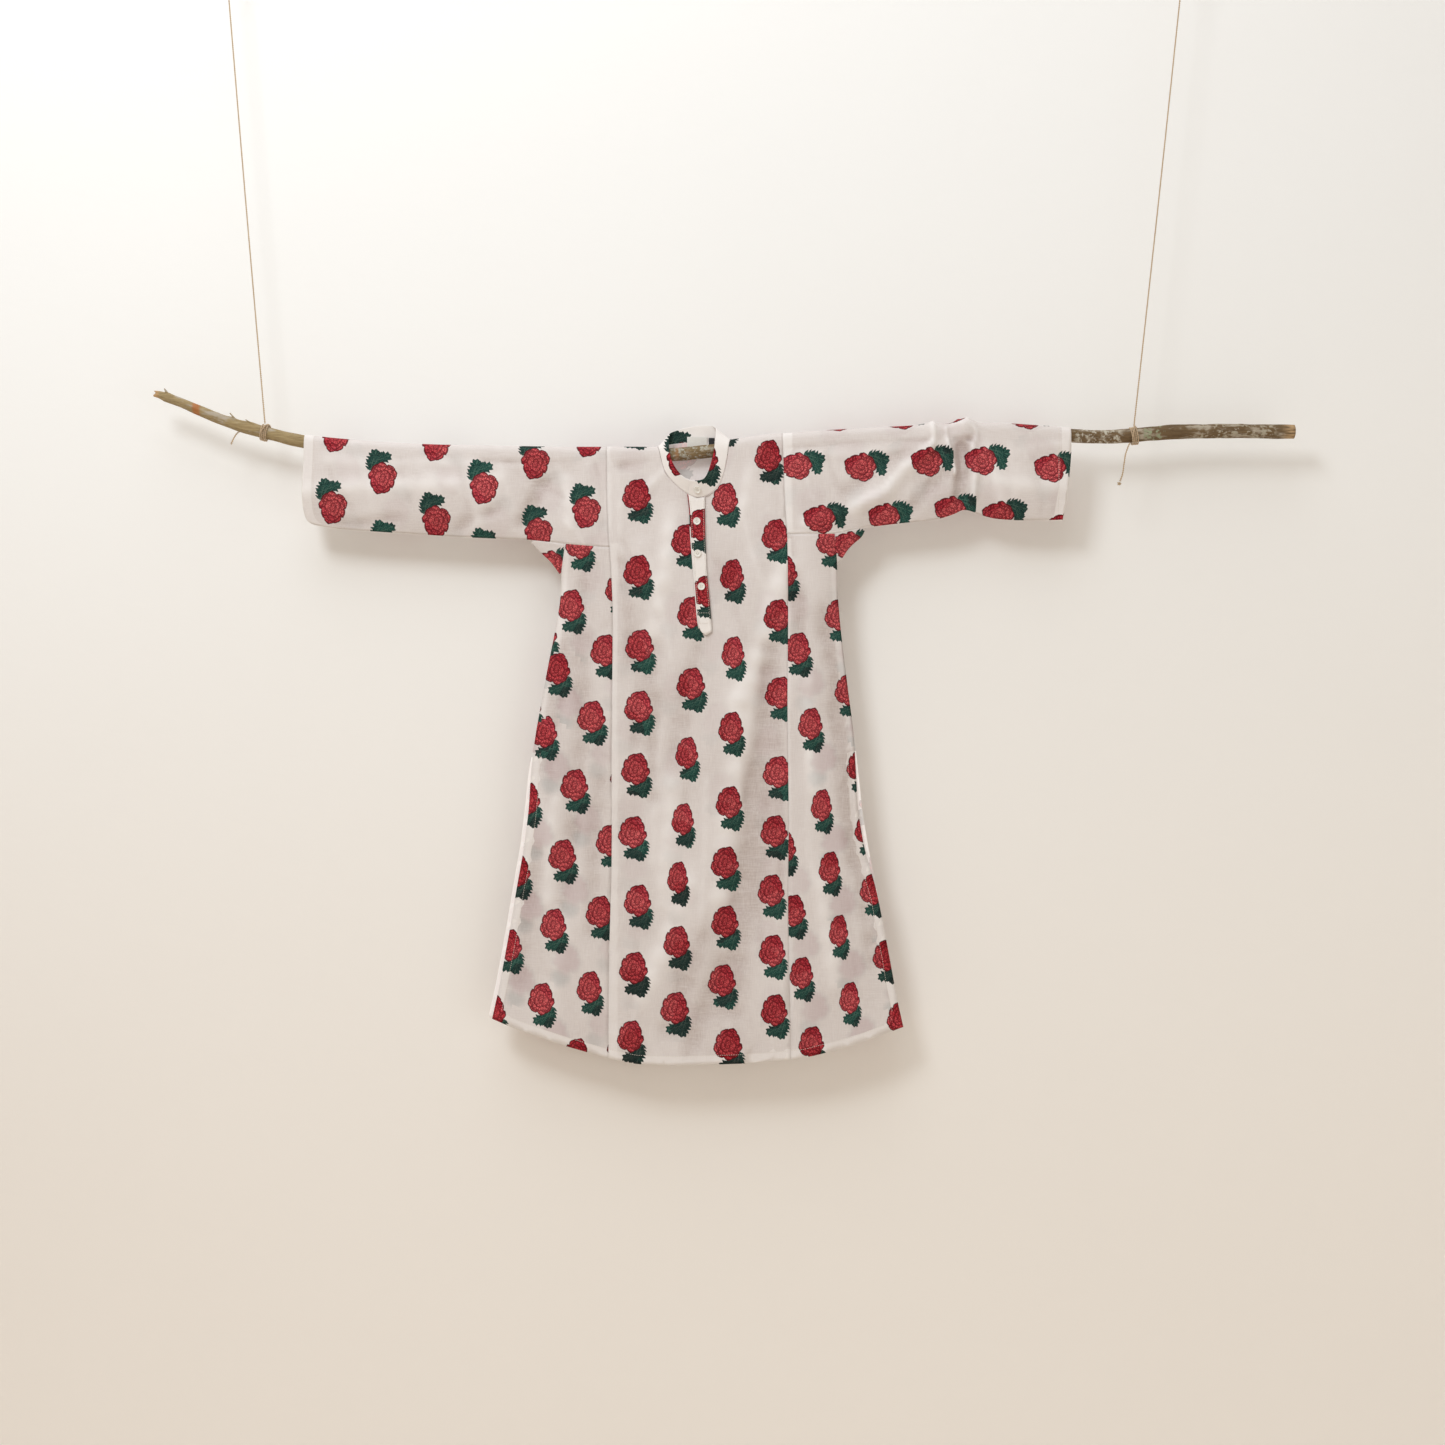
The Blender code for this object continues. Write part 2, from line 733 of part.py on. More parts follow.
def front_rib(point, lift=0.0):
    seam = hang(point.x, point.z, "front", lift)
    lip = (point.lip_x, seam[1] - point.lean, point.lip_z)
    return collar_rib(seam, lip)


def crest_rib(point):
    return collar_rib(over_branch(point.x, point.turn, "front"),
                      (point.lip_x, point.lip_y, point.lip_z))


def neck_between(x):
    """A point of the front neck at any x, read between the table's rows."""
    return NeckPoint(x, *(look_up(FRONT_NECK, "x", field, x)
                          for field in ("z", "lip_x", "lip_z", "lean")))


def collar():
    """The band, from its under end round the neck to the end that laps over it."""
    over = COLLAR_WALL + 0.6
    under_end = [front_rib(neck_between(x)) for x in (6.0, SLIT_RIGHT, SLIT_LEFT)]
    left = [front_rib(p) for p in reversed(FRONT_NECK) if p.x < SLIT_LEFT - 1]
    left += [crest_rib(p) for p in LEFT_CREST]
    back = [collar_rib((p.x, p.y, p.z), (p.lip_x, p.lip_y, p.lip_z)) for p in BACK_NECK]
    right = [crest_rib(p) for p in reversed(RIGHT_CREST)]
    right += [front_rib(p, over * ease((44.0 - p.x) / 26.0))
              for p in reversed(FRONT_NECK) if p.x > 10]
    over_end = [front_rib(neck_between(x), over) for x in (4.0, -5.0, -12.0, -18.4)]
    return rows_of([rib[::-1] for rib in under_end + left + back + right + over_end])


def strip_columns(end_z, lift, shift, shares, tip_drop):
    """A strip on the front, from the neck seam down to its end."""
    columns = []
    for across in shares:
        points = []
        top_x = mix(PLACKET[0].left, PLACKET[0].right, across) + shift
        top_z = look_up(FRONT_NECK, "x", "z", top_x) - 2 * SEAM_GAP
        low_z = end_z - tip_drop * (1 - abs(2 * across - 1))
        for row in np.linspace(0, 1, 15):
            z = mix(top_z, low_z, row)
            x = mix(look_up(PLACKET, "z", "left", z), look_up(PLACKET, "z", "right", z), across)
            points.append(hang(x + shift, z, "front", lift))
        columns.append(points)
    return rows_of(columns)


def new_material(name, colour, roughness):
    material = bpy.data.materials.new(name)
    material.use_nodes = True
    shader = material.node_tree.nodes["Principled BSDF"]
    shader.inputs["Base Color"].default_value = (*colour, 1.0)
    shader.inputs["Roughness"].default_value = roughness
    shader.inputs["Metallic"].default_value = 0.0
    return material


def finish(name, data, collection, colour, roughness):
    """Adds a mesh or curve to the part as a named object with its own material."""
    obj = bpy.data.objects.new(name, data)
    collection.objects.link(obj)
    data.materials.append(new_material(name, colour, roughness))
    return obj


def cloth_piece(name, rows, collection, wall=CLOTH_WALL, cut=frozenset()):
    """A grid moved to the rows of middle points, and given its wall by Solidify."""
    row_count, column_count = len(rows) - 1, len(rows[0]) - 1
    grid = bmesh.new()
    bmesh.ops.create_grid(grid, x_segments=column_count, y_segments=row_count, size=1)
    place = {}
    for vertex in grid.verts:
        across = round((vertex.co.x + 1) / 2 * column_count)
        down = round((1 - vertex.co.y) / 2 * row_count)
        place[vertex] = (down, across)
    taken = [
        face for face in grid.faces
        if (min(place[v][0] for v in face.verts), min(place[v][1] for v in face.verts)) in cut
    ]
    for vertex, (down, across) in place.items():
        vertex.co = Vector(rows[down][across]) * MM
    bmesh.ops.delete(grid, geom=taken, context="FACES")
    mesh = bpy.data.meshes.new(name)
    grid.to_mesh(mesh)
    grid.free()
    mesh.shade_smooth()
    obj = finish(name, mesh, collection, CLOTH_COLOUR, 0.85)
    solidify = obj.modifiers.new("Wall", "SOLIDIFY")
    solidify.thickness = wall * MM
    solidify.offset = 0.0
    return obj


def tube(name, points, radii, collection, colour, sides=2):
    """A tube along a smooth run of points, with closed ends."""
    curve = bpy.data.curves.new(name, "CURVE")
    curve.dimensions = "3D"
    curve.bevel_depth = MM
    curve.bevel_resolution = sides
    curve.use_fill_caps = True
    spline = curve.splines.new("POLY")
    spline.points.add(len(points) - 1)
    for target, point, radius in zip(spline.points, points, radii):
        target.co = (*(Vector(point) * MM), 1.0)
        target.radius = radius
    return finish(name, curve, collection, colour, 0.9)


def smooth_route(points, count):
    """Points at even steps along a smooth curve through the route's own points."""
    points = [Vector(point) for point in points]
    ends = [2 * points[0] - points[1]] + points + [2 * points[-1] - points[-2]]
    route = []
    for index in range(count + 1):
        place = index / count * (len(points) - 1)
        step = min(int(place), len(points) - 2)
        t = place - step
        a, b, c, d = ends[step:step + 4]
        route.append(0.5 * (2 * b + (c - a) * t + (2 * a - 5 * b + 4 * c - d) * t * t
                            + (3 * b - a - 3 * c + d) * t ** 3))
    return route


def turned(name, profile, collection, colour, steps=16, loop=False):
    """A profile of (radius, height) turned about Z."""
    mesh = bpy.data.meshes.new(name)
    count = len(profile)
    edges = [(i, i + 1) for i in range(count - 1)] + ([(count - 1, 0)] if loop else [])
    mesh.from_pydata([(r * MM, 0, h * MM) for r, h in profile], edges, [])
    obj = finish(name, mesh, collection, colour, 0.4)
    screw = obj.modifiers.new("Turn", "SCREW")
    screw.axis = "Z"
    screw.steps = steps
    screw.render_steps = steps
    screw.use_merge_vertices = True
    screw.merge_threshold = 0.00002
    screw.use_smooth_shade = True
    return obj


def button(index, place, collection):
    """A sewn button: flat below, with a raised rim and a dished middle."""
    rim = BUTTON_RADIUS - BUTTON_RIM
    profile = (
        (0.0, BUTTON_HEIGHT - 0.7),
        (rim - 0.7, BUTTON_HEIGHT - 0.6),
        (rim, BUTTON_HEIGHT),
        (BUTTON_RADIUS - 0.4, BUTTON_HEIGHT - 0.1),
        (BUTTON_RADIUS, BUTTON_HEIGHT - 0.8),
        (BUTTON_RADIUS - 0.3, 0.4),
        (rim, 0.0),
        (0.0, 0.0),
    )
    if index == 0:
        point = neck_between(place.x)
        share = (place.z - point.z) / (point.lip_z - point.z)
        seam_y = hang(place.x, point.z, "front", COLLAR_WALL + 0.6)[1]
        y = seam_y - point.lean * share - COLLAR_WALL / 2
        tilt = math.atan2(point.lean, point.lip_z - point.z)
    else:
        y = hang(place.x, place.z, "front", 2 * LAYER_STEP)[1] - CLOTH_WALL / 2
        above = hang(place.x, place.z + BUTTON_RADIUS, "front")[1]
        below = hang(place.x, place.z - BUTTON_RADIUS, "front")[1]
        tilt = math.atan2(below - above, 2 * BUTTON_RADIUS)
    obj = turned(f"button_{index + 1}", profile, collection, BUTTON_COLOUR)
    obj.rotation_euler = (math.pi / 2 + tilt, 0.0, 0.0)
    obj.location = (place.x * MM, (y - 2 * SEAM_GAP) * MM, place.z * MM)
    return obj


def plate(name, low, high, collection, colour):
    bpy.ops.mesh.primitive_cube_add(size=1)
    obj = bpy.context.object
    obj.name = name
    middle = [(a + b) / 2 * MM for a, b in zip(low, high)]
    size = [(b - a) * MM for a, b in zip(low, high)]
    for vertex in obj.data.vertices:
        vertex.co = [c * s + m for c, s, m in zip(vertex.co, size, middle)]
    adopt(obj, name, collection, colour, 0.6)
    return obj


def adopt(obj, name, collection, colour, roughness):
    """Moves an object made by an operator into the part's collection."""
    for holder in list(obj.users_collection):
        holder.objects.unlink(obj)
    collection.objects.link(obj)
    obj.name = name
    obj.data.name = name
    obj.data.materials.clear()
    obj.data.materials.append(new_material(name, colour, roughness))


def branch_part(part, collection):
    """One stretch of the branch; its ends inside the branch keep half a gap."""
    start = part.start + (JOIN_GAP / 2 if part.start > BRANCH[0].x else 0.0)
    end = part.end - (JOIN_GAP / 2 if part.end < BRANCH[-1].x else 0.0)
    places = [start] + [p.x for p in BRANCH if part.start < p.x < part.end] + [end]
    points = [(x, 0.0, branch_height(x)) for x in places]
    radii = [look_up(BRANCH, "x", "radius", x) for x in places]
    tube(part.name, points, radii, collection, BARK_COLOUR, sides=3)


def string_parts(side, collection):
    """A string with its turns round the branch, its loose end, its knot and its loop."""
    sign = -1 if side == "left" else 1
    foot_x = STRING_FEET[side]
    centre_z = branch_height(foot_x)
    beside = (foot_x - WRAP_LOOK, foot_x, foot_x + WRAP_LOOK)
    inner = max(look_up(BRANCH, "x", "radius", x) for x in beside) + 0.8
    outer = inner + 2 * STRING_RADIUS
    width = WRAP_TURNS * 2 * STRING_RADIUS * 1.05
    profile = [(inner, width / 2)]
    for turn in range(WRAP_TURNS):
        top = width / 2 - turn * width / WRAP_TURNS
        profile += [(outer - 0.7, top - 0.12), (outer, top - width / WRAP_TURNS / 2)]
    profile += [(outer - 0.7, -width / 2 + 0.12), (inner, -width / 2)]
    ring = turned(f"wrap_{side}", profile, collection, JUTE_COLOUR, steps=18, loop=True)
    climb = branch_height(beside[-1]) - branch_height(beside[0])
    slope = math.atan2(climb, 2 * WRAP_LOOK)
    ring.rotation_euler = (0.0, math.pi / 2 - slope, 0.0)
    ring.location = (foot_x * MM, 0.0, centre_z * MM)
    foot_z = centre_z + outer + SEAM_GAP + 0.5
    head_x = STRING_HEADS[side]
    middle = (mix(foot_x, head_x, 0.5) + sign * 0.6, 0.0, mix(foot_z, STRING_TOP, 0.5))
    route = smooth_route([(foot_x, 0.0, foot_z), middle, (head_x, 0.0, STRING_TOP)], 24)
    tube(f"string_{side}", route, [STRING_RADIUS] * len(route), collection, JUTE_COLOUR)
    lean = (route[-1] - route[-2]).normalized()
    knot_at = route[-1] + lean * (KNOT_RADIUS + SEAM_GAP)
    bpy.ops.mesh.primitive_uv_sphere_add(
        segments=12, ring_count=8, radius=KNOT_RADIUS * MM, location=knot_at * MM)
    adopt(bpy.context.object, f"knot_{side}", collection, JUTE_COLOUR, 0.9)
    loop_at = knot_at + lean * (KNOT_RADIUS + SEAM_GAP + LOOP_RADIUS + STRING_RADIUS)
    bpy.ops.mesh.primitive_torus_add(
        location=loop_at * MM, rotation=(math.pi / 2, 0.0, 0.0),
        major_segments=20, minor_segments=8,
        major_radius=LOOP_RADIUS * MM, minor_radius=STRING_RADIUS * MM)
    adopt(bpy.context.object, f"loop_{side}", collection, JUTE_COLOUR, 0.9)
    tail = smooth_route(TAILS[side], 12)
    tube(f"tail_{side}", tail, [STRING_RADIUS] * len(tail), collection, JUTE_COLOUR)
    if side == "right":
        bpy.ops.mesh.primitive_uv_sphere_add(
            segments=12, ring_count=8, radius=KNOT_RADIUS * MM, location=Vector(TAIL_KNOT) * MM)
        adopt(bpy.context.object, "tail_knot", collection, JUTE_COLOUR, 0.9)


def main():
    for obj in list(bpy.data.objects):
        bpy.data.objects.remove(obj, do_unlink=True)
    kurta = bpy.data.collections.new("kurta_on_branch")
    bpy.context.scene.collection.children.link(kurta)

    front = centre_panel("front")
    cloth_piece("front_centre", front, kurta, cut=slit_faces(front))
    upper, lower = split_at(centre_panel("back"), len(UPPER_ROWS) - 1)
    cloth_piece("back_centre_upper", upper, kurta)
    cloth_piece("back_centre_lower", lower, kurta)
    for side in ("left", "right"):
        cloth_piece(f"sleeve_{side}", sleeve(side), kurta)
        cloth_piece(f"gusset_{side}", gusset(side), kurta)
        for face in ("front", "back"):
            cloth_piece(f"side_{face}_{side}", side_panel(side, face), kurta)
    cloth_piece("collar", collar(), kurta, wall=COLLAR_WALL)
    top_strip = strip_columns(PLACKET[-1].z, 2 * LAYER_STEP, 0.0, (0.0, 0.25, 0.5, 0.75, 1.0),
                              PLACKET_TIP_DROP)
    cloth_piece("placket_top", top_strip, kurta)
    under_strip = strip_columns(UNDER_STRIP_END, LAYER_STEP, UNDER_STRIP_SHIFT,
                                (0.0, 0.33, 0.66, 0.95), 0.0)
    cloth_piece("placket_under", under_strip, kurta)
    for index, place in enumerate(BUTTONS):
        button(index, place, kurta)
    plate("neck_label", (-20.3, 10.8, 9.4), (11.5, 10.8 + LABEL_WALL, 25.0), kurta, LABEL_COLOUR)
    plate("size_tab", (13.6, 10.8, 12.5), (22.5, 10.8 + LABEL_WALL, 23.4), kurta, TAB_COLOUR)
    for part in BRANCH_PARTS:
        branch_part(part, kurta)
    for side in ("left", "right"):
        string_parts(side, kurta)


main()
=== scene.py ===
# %% [markdown]
# # A rose-print kurta threaded on a hanging branch
#
# The real thing is a long, thin cotton kurta. Its straight sleeves are pushed over a crooked
# branch, and two jute strings hold the branch in front of a pale wall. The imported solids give
# every piece its true place and size. This lesson dresses them: fine cloth shells with soft
# creases, a printed rose, hems and stitches, bark, and twisted string.

# %% Load the frame
import math

import bmesh
import bpy
import numpy as np
from mathutils import Matrix, Vector
from mathutils.bvhtree import BVHTree


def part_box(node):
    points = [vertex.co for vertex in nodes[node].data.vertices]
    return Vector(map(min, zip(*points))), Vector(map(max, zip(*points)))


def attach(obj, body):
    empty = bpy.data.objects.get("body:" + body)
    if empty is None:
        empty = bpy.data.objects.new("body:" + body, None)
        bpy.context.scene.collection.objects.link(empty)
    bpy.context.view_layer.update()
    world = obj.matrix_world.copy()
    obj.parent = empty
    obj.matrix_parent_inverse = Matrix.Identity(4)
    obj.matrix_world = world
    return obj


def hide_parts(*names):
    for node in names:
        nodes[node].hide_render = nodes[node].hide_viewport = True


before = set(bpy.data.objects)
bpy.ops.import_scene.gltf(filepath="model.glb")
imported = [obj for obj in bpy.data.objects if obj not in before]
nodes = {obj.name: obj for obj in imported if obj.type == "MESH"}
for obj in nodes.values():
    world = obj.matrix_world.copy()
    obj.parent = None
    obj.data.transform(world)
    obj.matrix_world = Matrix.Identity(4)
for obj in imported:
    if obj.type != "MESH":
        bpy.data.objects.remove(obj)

scene = bpy.context.scene
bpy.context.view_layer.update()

# %% [markdown]
# ## Camera, wall and light
#
# One photo pixel is 1.56 mm at the cloth, so a 1445 pixel wide view is 2.254 m wide there. The
# camera stands 3.4 m away and looks straight at the wall. The wall has only a front: seen from
# behind it is clear, and it throws no shadow, so that the back of the kurta is lit and can be
# looked at too.

# %% Camera
MM = 0.001
PIXEL = 1.56 * MM
VIEW_WIDTH = 1445 * PIXEL
CAMERA_DISTANCE = 3.4
SENSOR_WIDTH = 36.0
VIEW_CENTRE = Vector((22.5 * PIXEL, 0.0, -270.5 * PIXEL))

camera_data = bpy.data.cameras.new("Camera")
camera_data.sensor_width = SENSOR_WIDTH
camera_data.lens = SENSOR_WIDTH * CAMERA_DISTANCE / VIEW_WIDTH
camera = bpy.data.objects.new("Camera", camera_data)
camera.location = VIEW_CENTRE + Vector((0.0, -CAMERA_DISTANCE, 0.0))
camera.rotation_euler = (math.pi / 2, 0.0, 0.0)
scene.collection.objects.link(camera)
scene.camera = camera
scene.view_settings.view_transform = "Standard"
print("lens", round(camera_data.lens, 2), "mm")

# %% Helpers for selecting and for colours
def only(obj):
    """Makes obj the one selected and active object."""
    bpy.ops.object.select_all(action="DESELECT")
    obj.select_set(True)
    bpy.context.view_layer.objects.active = obj


def srgb(red, green, blue):
    """A colour as a picture shows it (0 to 255), made linear for a shader."""
    linear = []
    for value in (red, green, blue):
        value /= 255
        linear.append(value / 12.92 if value <= 0.04045 else ((value + 0.055) / 1.055) ** 2.4)
    return (*linear, 1.0)


def new_material(name, roughness):
    material = bpy.data.materials.new(name)
    material.use_nodes = True
    shader = material.node_tree.nodes["Principled BSDF"]
    shader.inputs["Roughness"].default_value = roughness
    return material, material.node_tree, shader


print("one photo pixel is", round(PIXEL / MM, 3), "mm")


# %% Helpers for shader nodes
def wire(tree, value, socket):
    """Joins an output to a socket, or sets the socket to a plain value."""
    if isinstance(value, bpy.types.NodeSocket):
        tree.links.new(value, socket)
    else:
        socket.default_value = value


def maths(tree, operation, *values):
    """One step of arithmetic on outputs or plain values."""
    node = tree.nodes.new("ShaderNodeMath")
    node.operation = operation
    for index, value in enumerate(values):
        wire(tree, value, node.inputs[index])
    return node.outputs[0]


def blend_colours(tree, share, first, second, way="MIX"):
    node = tree.nodes.new("ShaderNodeMix")
    node.data_type = "RGBA"
    node.blend_type = way
    wire(tree, share, node.inputs["Factor"])
    wire(tree, first, node.inputs[6])
    wire(tree, second, node.inputs[7])
    return node.outputs[2]


def stretched(tree, vector, scale):
    """The same places on a scale of their own along each axis."""
    node = tree.nodes.new("ShaderNodeMapping")
    node.inputs["Scale"].default_value = scale
    tree.links.new(vector, node.inputs["Vector"])
    return node.outputs[0]


def noise(tree, vector, scale, detail=2.0, roughness=0.5):
    node = tree.nodes.new("ShaderNodeTexNoise")
    node.inputs["Scale"].default_value = scale
    node.inputs["Detail"].default_value = detail
    node.inputs["Roughness"].default_value = roughness
    tree.links.new(vector, node.inputs["Vector"])
    return node.outputs[0]


def between(tree, value, low, high):
    """0 at low, 1 at high, and smooth between them."""
    node = tree.nodes.new("ShaderNodeMapRange")
    node.interpolation_type = "SMOOTHSTEP"
    wire(tree, value, node.inputs["Value"])
    node.inputs["From Min"].default_value = low
    node.inputs["From Max"].default_value = high
    return node.outputs[0]


def object_place(tree):
    return tree.nodes.new("ShaderNodeTexCoord").outputs["Object"]


def bump_from(tree, height, strength, distance):
    node = tree.nodes.new("ShaderNodeBump")
    node.inputs["Strength"].default_value = strength
    node.inputs["Distance"].default_value = distance
    tree.links.new(height, node.inputs["Height"])
    return node.outputs[0]


def paint(tree, shader, colour, height, strength, distance):
    """Gives a shader its colour and its fine relief."""
    tree.links.new(colour, shader.inputs["Base Color"])
    tree.links.new(bump_from(tree, height, strength, distance), shader.inputs["Normal"])


def product(tree, *values):
    return maths(tree, "MULTIPLY", *values)


def axes_of(tree, vector):
    node = tree.nodes.new("ShaderNodeSeparateXYZ")
    tree.links.new(vector, node.inputs[0])
    return node.outputs


print("shader helpers ready")

# %% Wall and floor
WALL_Y = 0.062
FLOOR_Z = -1.78
WALL_WIDTH = 7.0
WALL_HEIGHT = 5.0
WALL_SHADE_FADE = (-0.42, -0.02)


def stage_plane(name, size, place, turn, low_colour, high_colour, one_sided):
    bpy.ops.object.select_all(action="DESELECT")
    bpy.ops.mesh.primitive_plane_add(size=1, location=place, rotation=turn)
    plane = bpy.context.object
    plane.name = name
    plane.scale = (*size, 1.0)
    material, tree, shader = new_material(name, 0.95)
    place_socket = object_place(tree)
    patches = noise(tree, place_socket, 3.0, 4.0)
    # The colour goes from low_colour below to high_colour above. On the wall this is painted shade: a
    # little darker and warmer towards the floor.
    rise = between(tree, axes_of(tree, place_socket)[1], *WALL_SHADE_FADE)
    colours = blend_colours(tree, rise, srgb(*low_colour), srgb(*high_colour))
    patched = blend_colours(tree, patches, srgb(255, 255, 255), srgb(248, 247, 246))
    colours = blend_colours(tree, 1.0, colours, patched, "MULTIPLY")
    plaster = noise(tree, place_socket, 160.0, 6.0, 0.65)
    paint(tree, shader, colours, plaster, 0.25, 1.5 * MM)
    if one_sided:
        clear = tree.nodes.new("ShaderNodeBsdfTransparent")
        back = tree.nodes.new("ShaderNodeNewGeometry").outputs["Backfacing"]
        shadow_ray = tree.nodes.new("ShaderNodeLightPath").outputs["Is Shadow Ray"]
        either = tree.nodes.new("ShaderNodeMixShader")
        tree.links.new(maths(tree, "MAXIMUM", back, shadow_ray), either.inputs[0])
        tree.links.new(shader.outputs[0], either.inputs[1])
        tree.links.new(clear.outputs[0], either.inputs[2])
        tree.links.new(either.outputs[0], tree.nodes["Material Output"].inputs["Surface"])
    plane.data.materials.append(material)
    print(name, "at", place)


# The wall's lower colour is painted shade: darker and warmer where less light reaches.
WALL_LOW_SHADED = (252, 248, 243)
WALL_HIGH = (254, 255, 255)
FLOOR_COLOUR = (236, 226, 214)
stage_plane("wall", (WALL_WIDTH, WALL_HEIGHT), (0.0, WALL_Y, FLOOR_Z + WALL_HEIGHT / 2),
            (math.pi / 2, 0.0, 0.0), WALL_LOW_SHADED, WALL_HIGH, True)
stage_plane("floor", (WALL_WIDTH, WALL_WIDTH), (0.0, 0.0, FLOOR_Z), (0.0, 0.0, 0.0),
            FLOOR_COLOUR, FLOOR_COLOUR, False)


# %% Lights
def soft_light(name, place, aim, size, power, colour):
    data = bpy.data.lights.new(name, "AREA")
    data.size = size
    data.energy = power
    data.color = colour
    light = bpy.data.objects.new(name, data)
    light.location = place
    light.rotation_euler = (Vector(aim) - Vector(place)).to_track_quat("-Z", "Y").to_euler()
    scene.collection.objects.link(light)


soft_light("key", (-1.45, -2.6, 1.80), (0.0, 0.0, -0.1), 1.0, 43.0, (0.89, 0.955, 1.0))
soft_light("top", (-0.4, -1.5, 2.9), (0.0, 0.05, 0.1), 2.4, 38.5, (0.885, 0.955, 1.02))
soft_light("fill", (2.3, -2.6, -1.4), (1.1, 0.0, -1.3), 2.2, 14.0, (0.86, 0.96, 1.0))
soft_light("rear", (0.6, 3.0, 1.0), (0.0, 0.0, -0.3), 2.6, 22.0, (1.0, 0.90, 0.78))
world = bpy.data.worlds.new("World")
world.use_nodes = True
world.node_tree.nodes["Background"].inputs["Color"].default_value = (1.0, 0.875, 0.745, 1.0)
world.node_tree.nodes["Background"].inputs["Strength"].default_value = 0.49
scene.world = world

# %% [markdown]
# ## String
#
# The string is two plies of jute laid round each other. Each ply is a thin tube that winds
# round the string's own line, so the twist is real and catches light. The same function makes
# the long taut runs, the turns round the branch and the loose ends.

# %% Points of the branch and of the strings, in metres, as the solids have them
BRANCH = np.array((
    (-0.8486, 0.0905, 0.0050), (-0.8420, 0.0882, 0.0074), (-0.8110, 0.0780, 0.0078),
    (-0.7720, 0.0608, 0.0082), (-0.7238, 0.0421, 0.0094), (-0.6786, 0.0296, 0.0101),
    (-0.6146, 0.0140, 0.0105), (-0.5460, 0.0062, 0.0106), (-0.4320, -0.0008, 0.0107),
    (-0.3120, -0.0031, 0.0107), (-0.2180, -0.0047, 0.0107), (-0.1450, -0.0047, 0.0107),
    (-0.0450, -0.0051, 0.0107), (0.0218, 0.0016, 0.0111), (0.0936, 0.0133, 0.0110),
    (0.2106, 0.0218, 0.0110), (0.3588, 0.0296, 0.0110), (0.4680, 0.0328, 0.0110),
    (0.5772, 0.0250, 0.0109), (0.6240, 0.0234, 0.0110), (0.6770, 0.0250, 0.0113),
    (0.7254, 0.0312, 0.0121), (0.7800, 0.0328, 0.0117), (0.8424, 0.0323, 0.0114),
    (0.9266, 0.0315, 0.0117),
))
STRING_RADIUS = 1.3 * MM
STRING_RUNS = {
    "left": ((-0.6786, 0.0, 0.0446), (-0.7082, 0.0, 0.3858), (-0.7366, 0.0, 0.7270)),
    "right": ((0.6770, 0.0, 0.0405), (0.7146, 0.0, 0.3837), (0.7510, 0.0, 0.7270)),
}
TAILS = {
    "left": ((-0.6864, 0.0106, 0.0270), (-0.7000, 0.0109, 0.0310), (-0.7130, 0.0104, 0.0345),
             (-0.7220, 0.0084, 0.0320), (-0.7275, 0.0046, 0.0235), (-0.7316, 0.0005, 0.0120)),
    "right": ((0.6697, -0.0056, 0.0136), (0.6662, -0.0078, 0.0066), (0.6624, -0.0086, -0.0040),
              (0.6602, -0.0084, -0.0180), (0.6578, -0.0078, -0.0350), (0.6540, -0.0071, -0.0464)),
}


print("branch from", BRANCH[0, 0], "to", BRANCH[-1, 0])


# %% Routes along the branch and the strings
def branch_z(x):
    return np.interp(x, BRANCH[:, 0], BRANCH[:, 1])


def branch_radius(x):
    return np.interp(x, BRANCH[:, 0], BRANCH[:, 2])


def smooth_route(points, count):
    """Even steps along a smooth curve through a route's own points."""
    points = [Vector(point) for point in points]
    ends = [2 * points[0] - points[1]] + points + [2 * points[-1] - points[-2]]
    route = []
    for index in range(count + 1):
        place = index / count * (len(points) - 1)
        step = min(int(place), len(points) - 2)
        t = place - step
        a, b, c, d = ends[step:step + 4]
        route.append(0.5 * (2 * b + (c - a) * t + (2 * a - 5 * b + 4 * c - d) * t * t
                            + (3 * b - a - 3 * c + d) * t ** 3))
    return route


# %% Twisted string
PLY_RADIUS = 0.72 * MM
PLY_LAY = 0.58 * MM
PLY_PITCH = 6.5 * MM
PLY_SIDES = 6
STRING_STEP = 1.1 * MM
FRAYED_LENGTH = 9 * MM


def mesh_piece(name, points, faces):
    mesh = bpy.data.meshes.new(name)
    mesh.from_pydata([tuple(point) for point in points], [], faces)
    mesh.validate()
    obj = bpy.data.objects.new(name, mesh)
    scene.collection.objects.link(obj)
    mesh.shade_smooth()
    return obj


def steps_along(points, step):
    """Points at an even distance along a route, with a frame at each."""
    points = np.array([tuple(point) for point in points])
    lengths = np.concatenate([[0], np.cumsum(np.linalg.norm(np.diff(points, axis=0), axis=1))])
    count = max(int(lengths[-1] / step), 4)
    marks = np.linspace(0, lengths[-1], count + 1)
    places = np.array([np.interp(marks, lengths, points[:, axis]) for axis in range(3)]).T
    runs = np.gradient(places, axis=0)
    runs /= np.linalg.norm(runs, axis=1)[:, None]
    side = np.cross(runs[0], (0.0, 1.0, 0.0))
    if np.linalg.norm(side) < 0.2:
        side = np.cross(runs[0], (0.0, 0.0, 1.0))
    sides = []
    for run in runs:
        side = side - run * side.dot(run)
        side /= np.linalg.norm(side)
        sides.append(side.copy())
    sides = np.array(sides)
    return places, sides, np.cross(runs, sides), marks


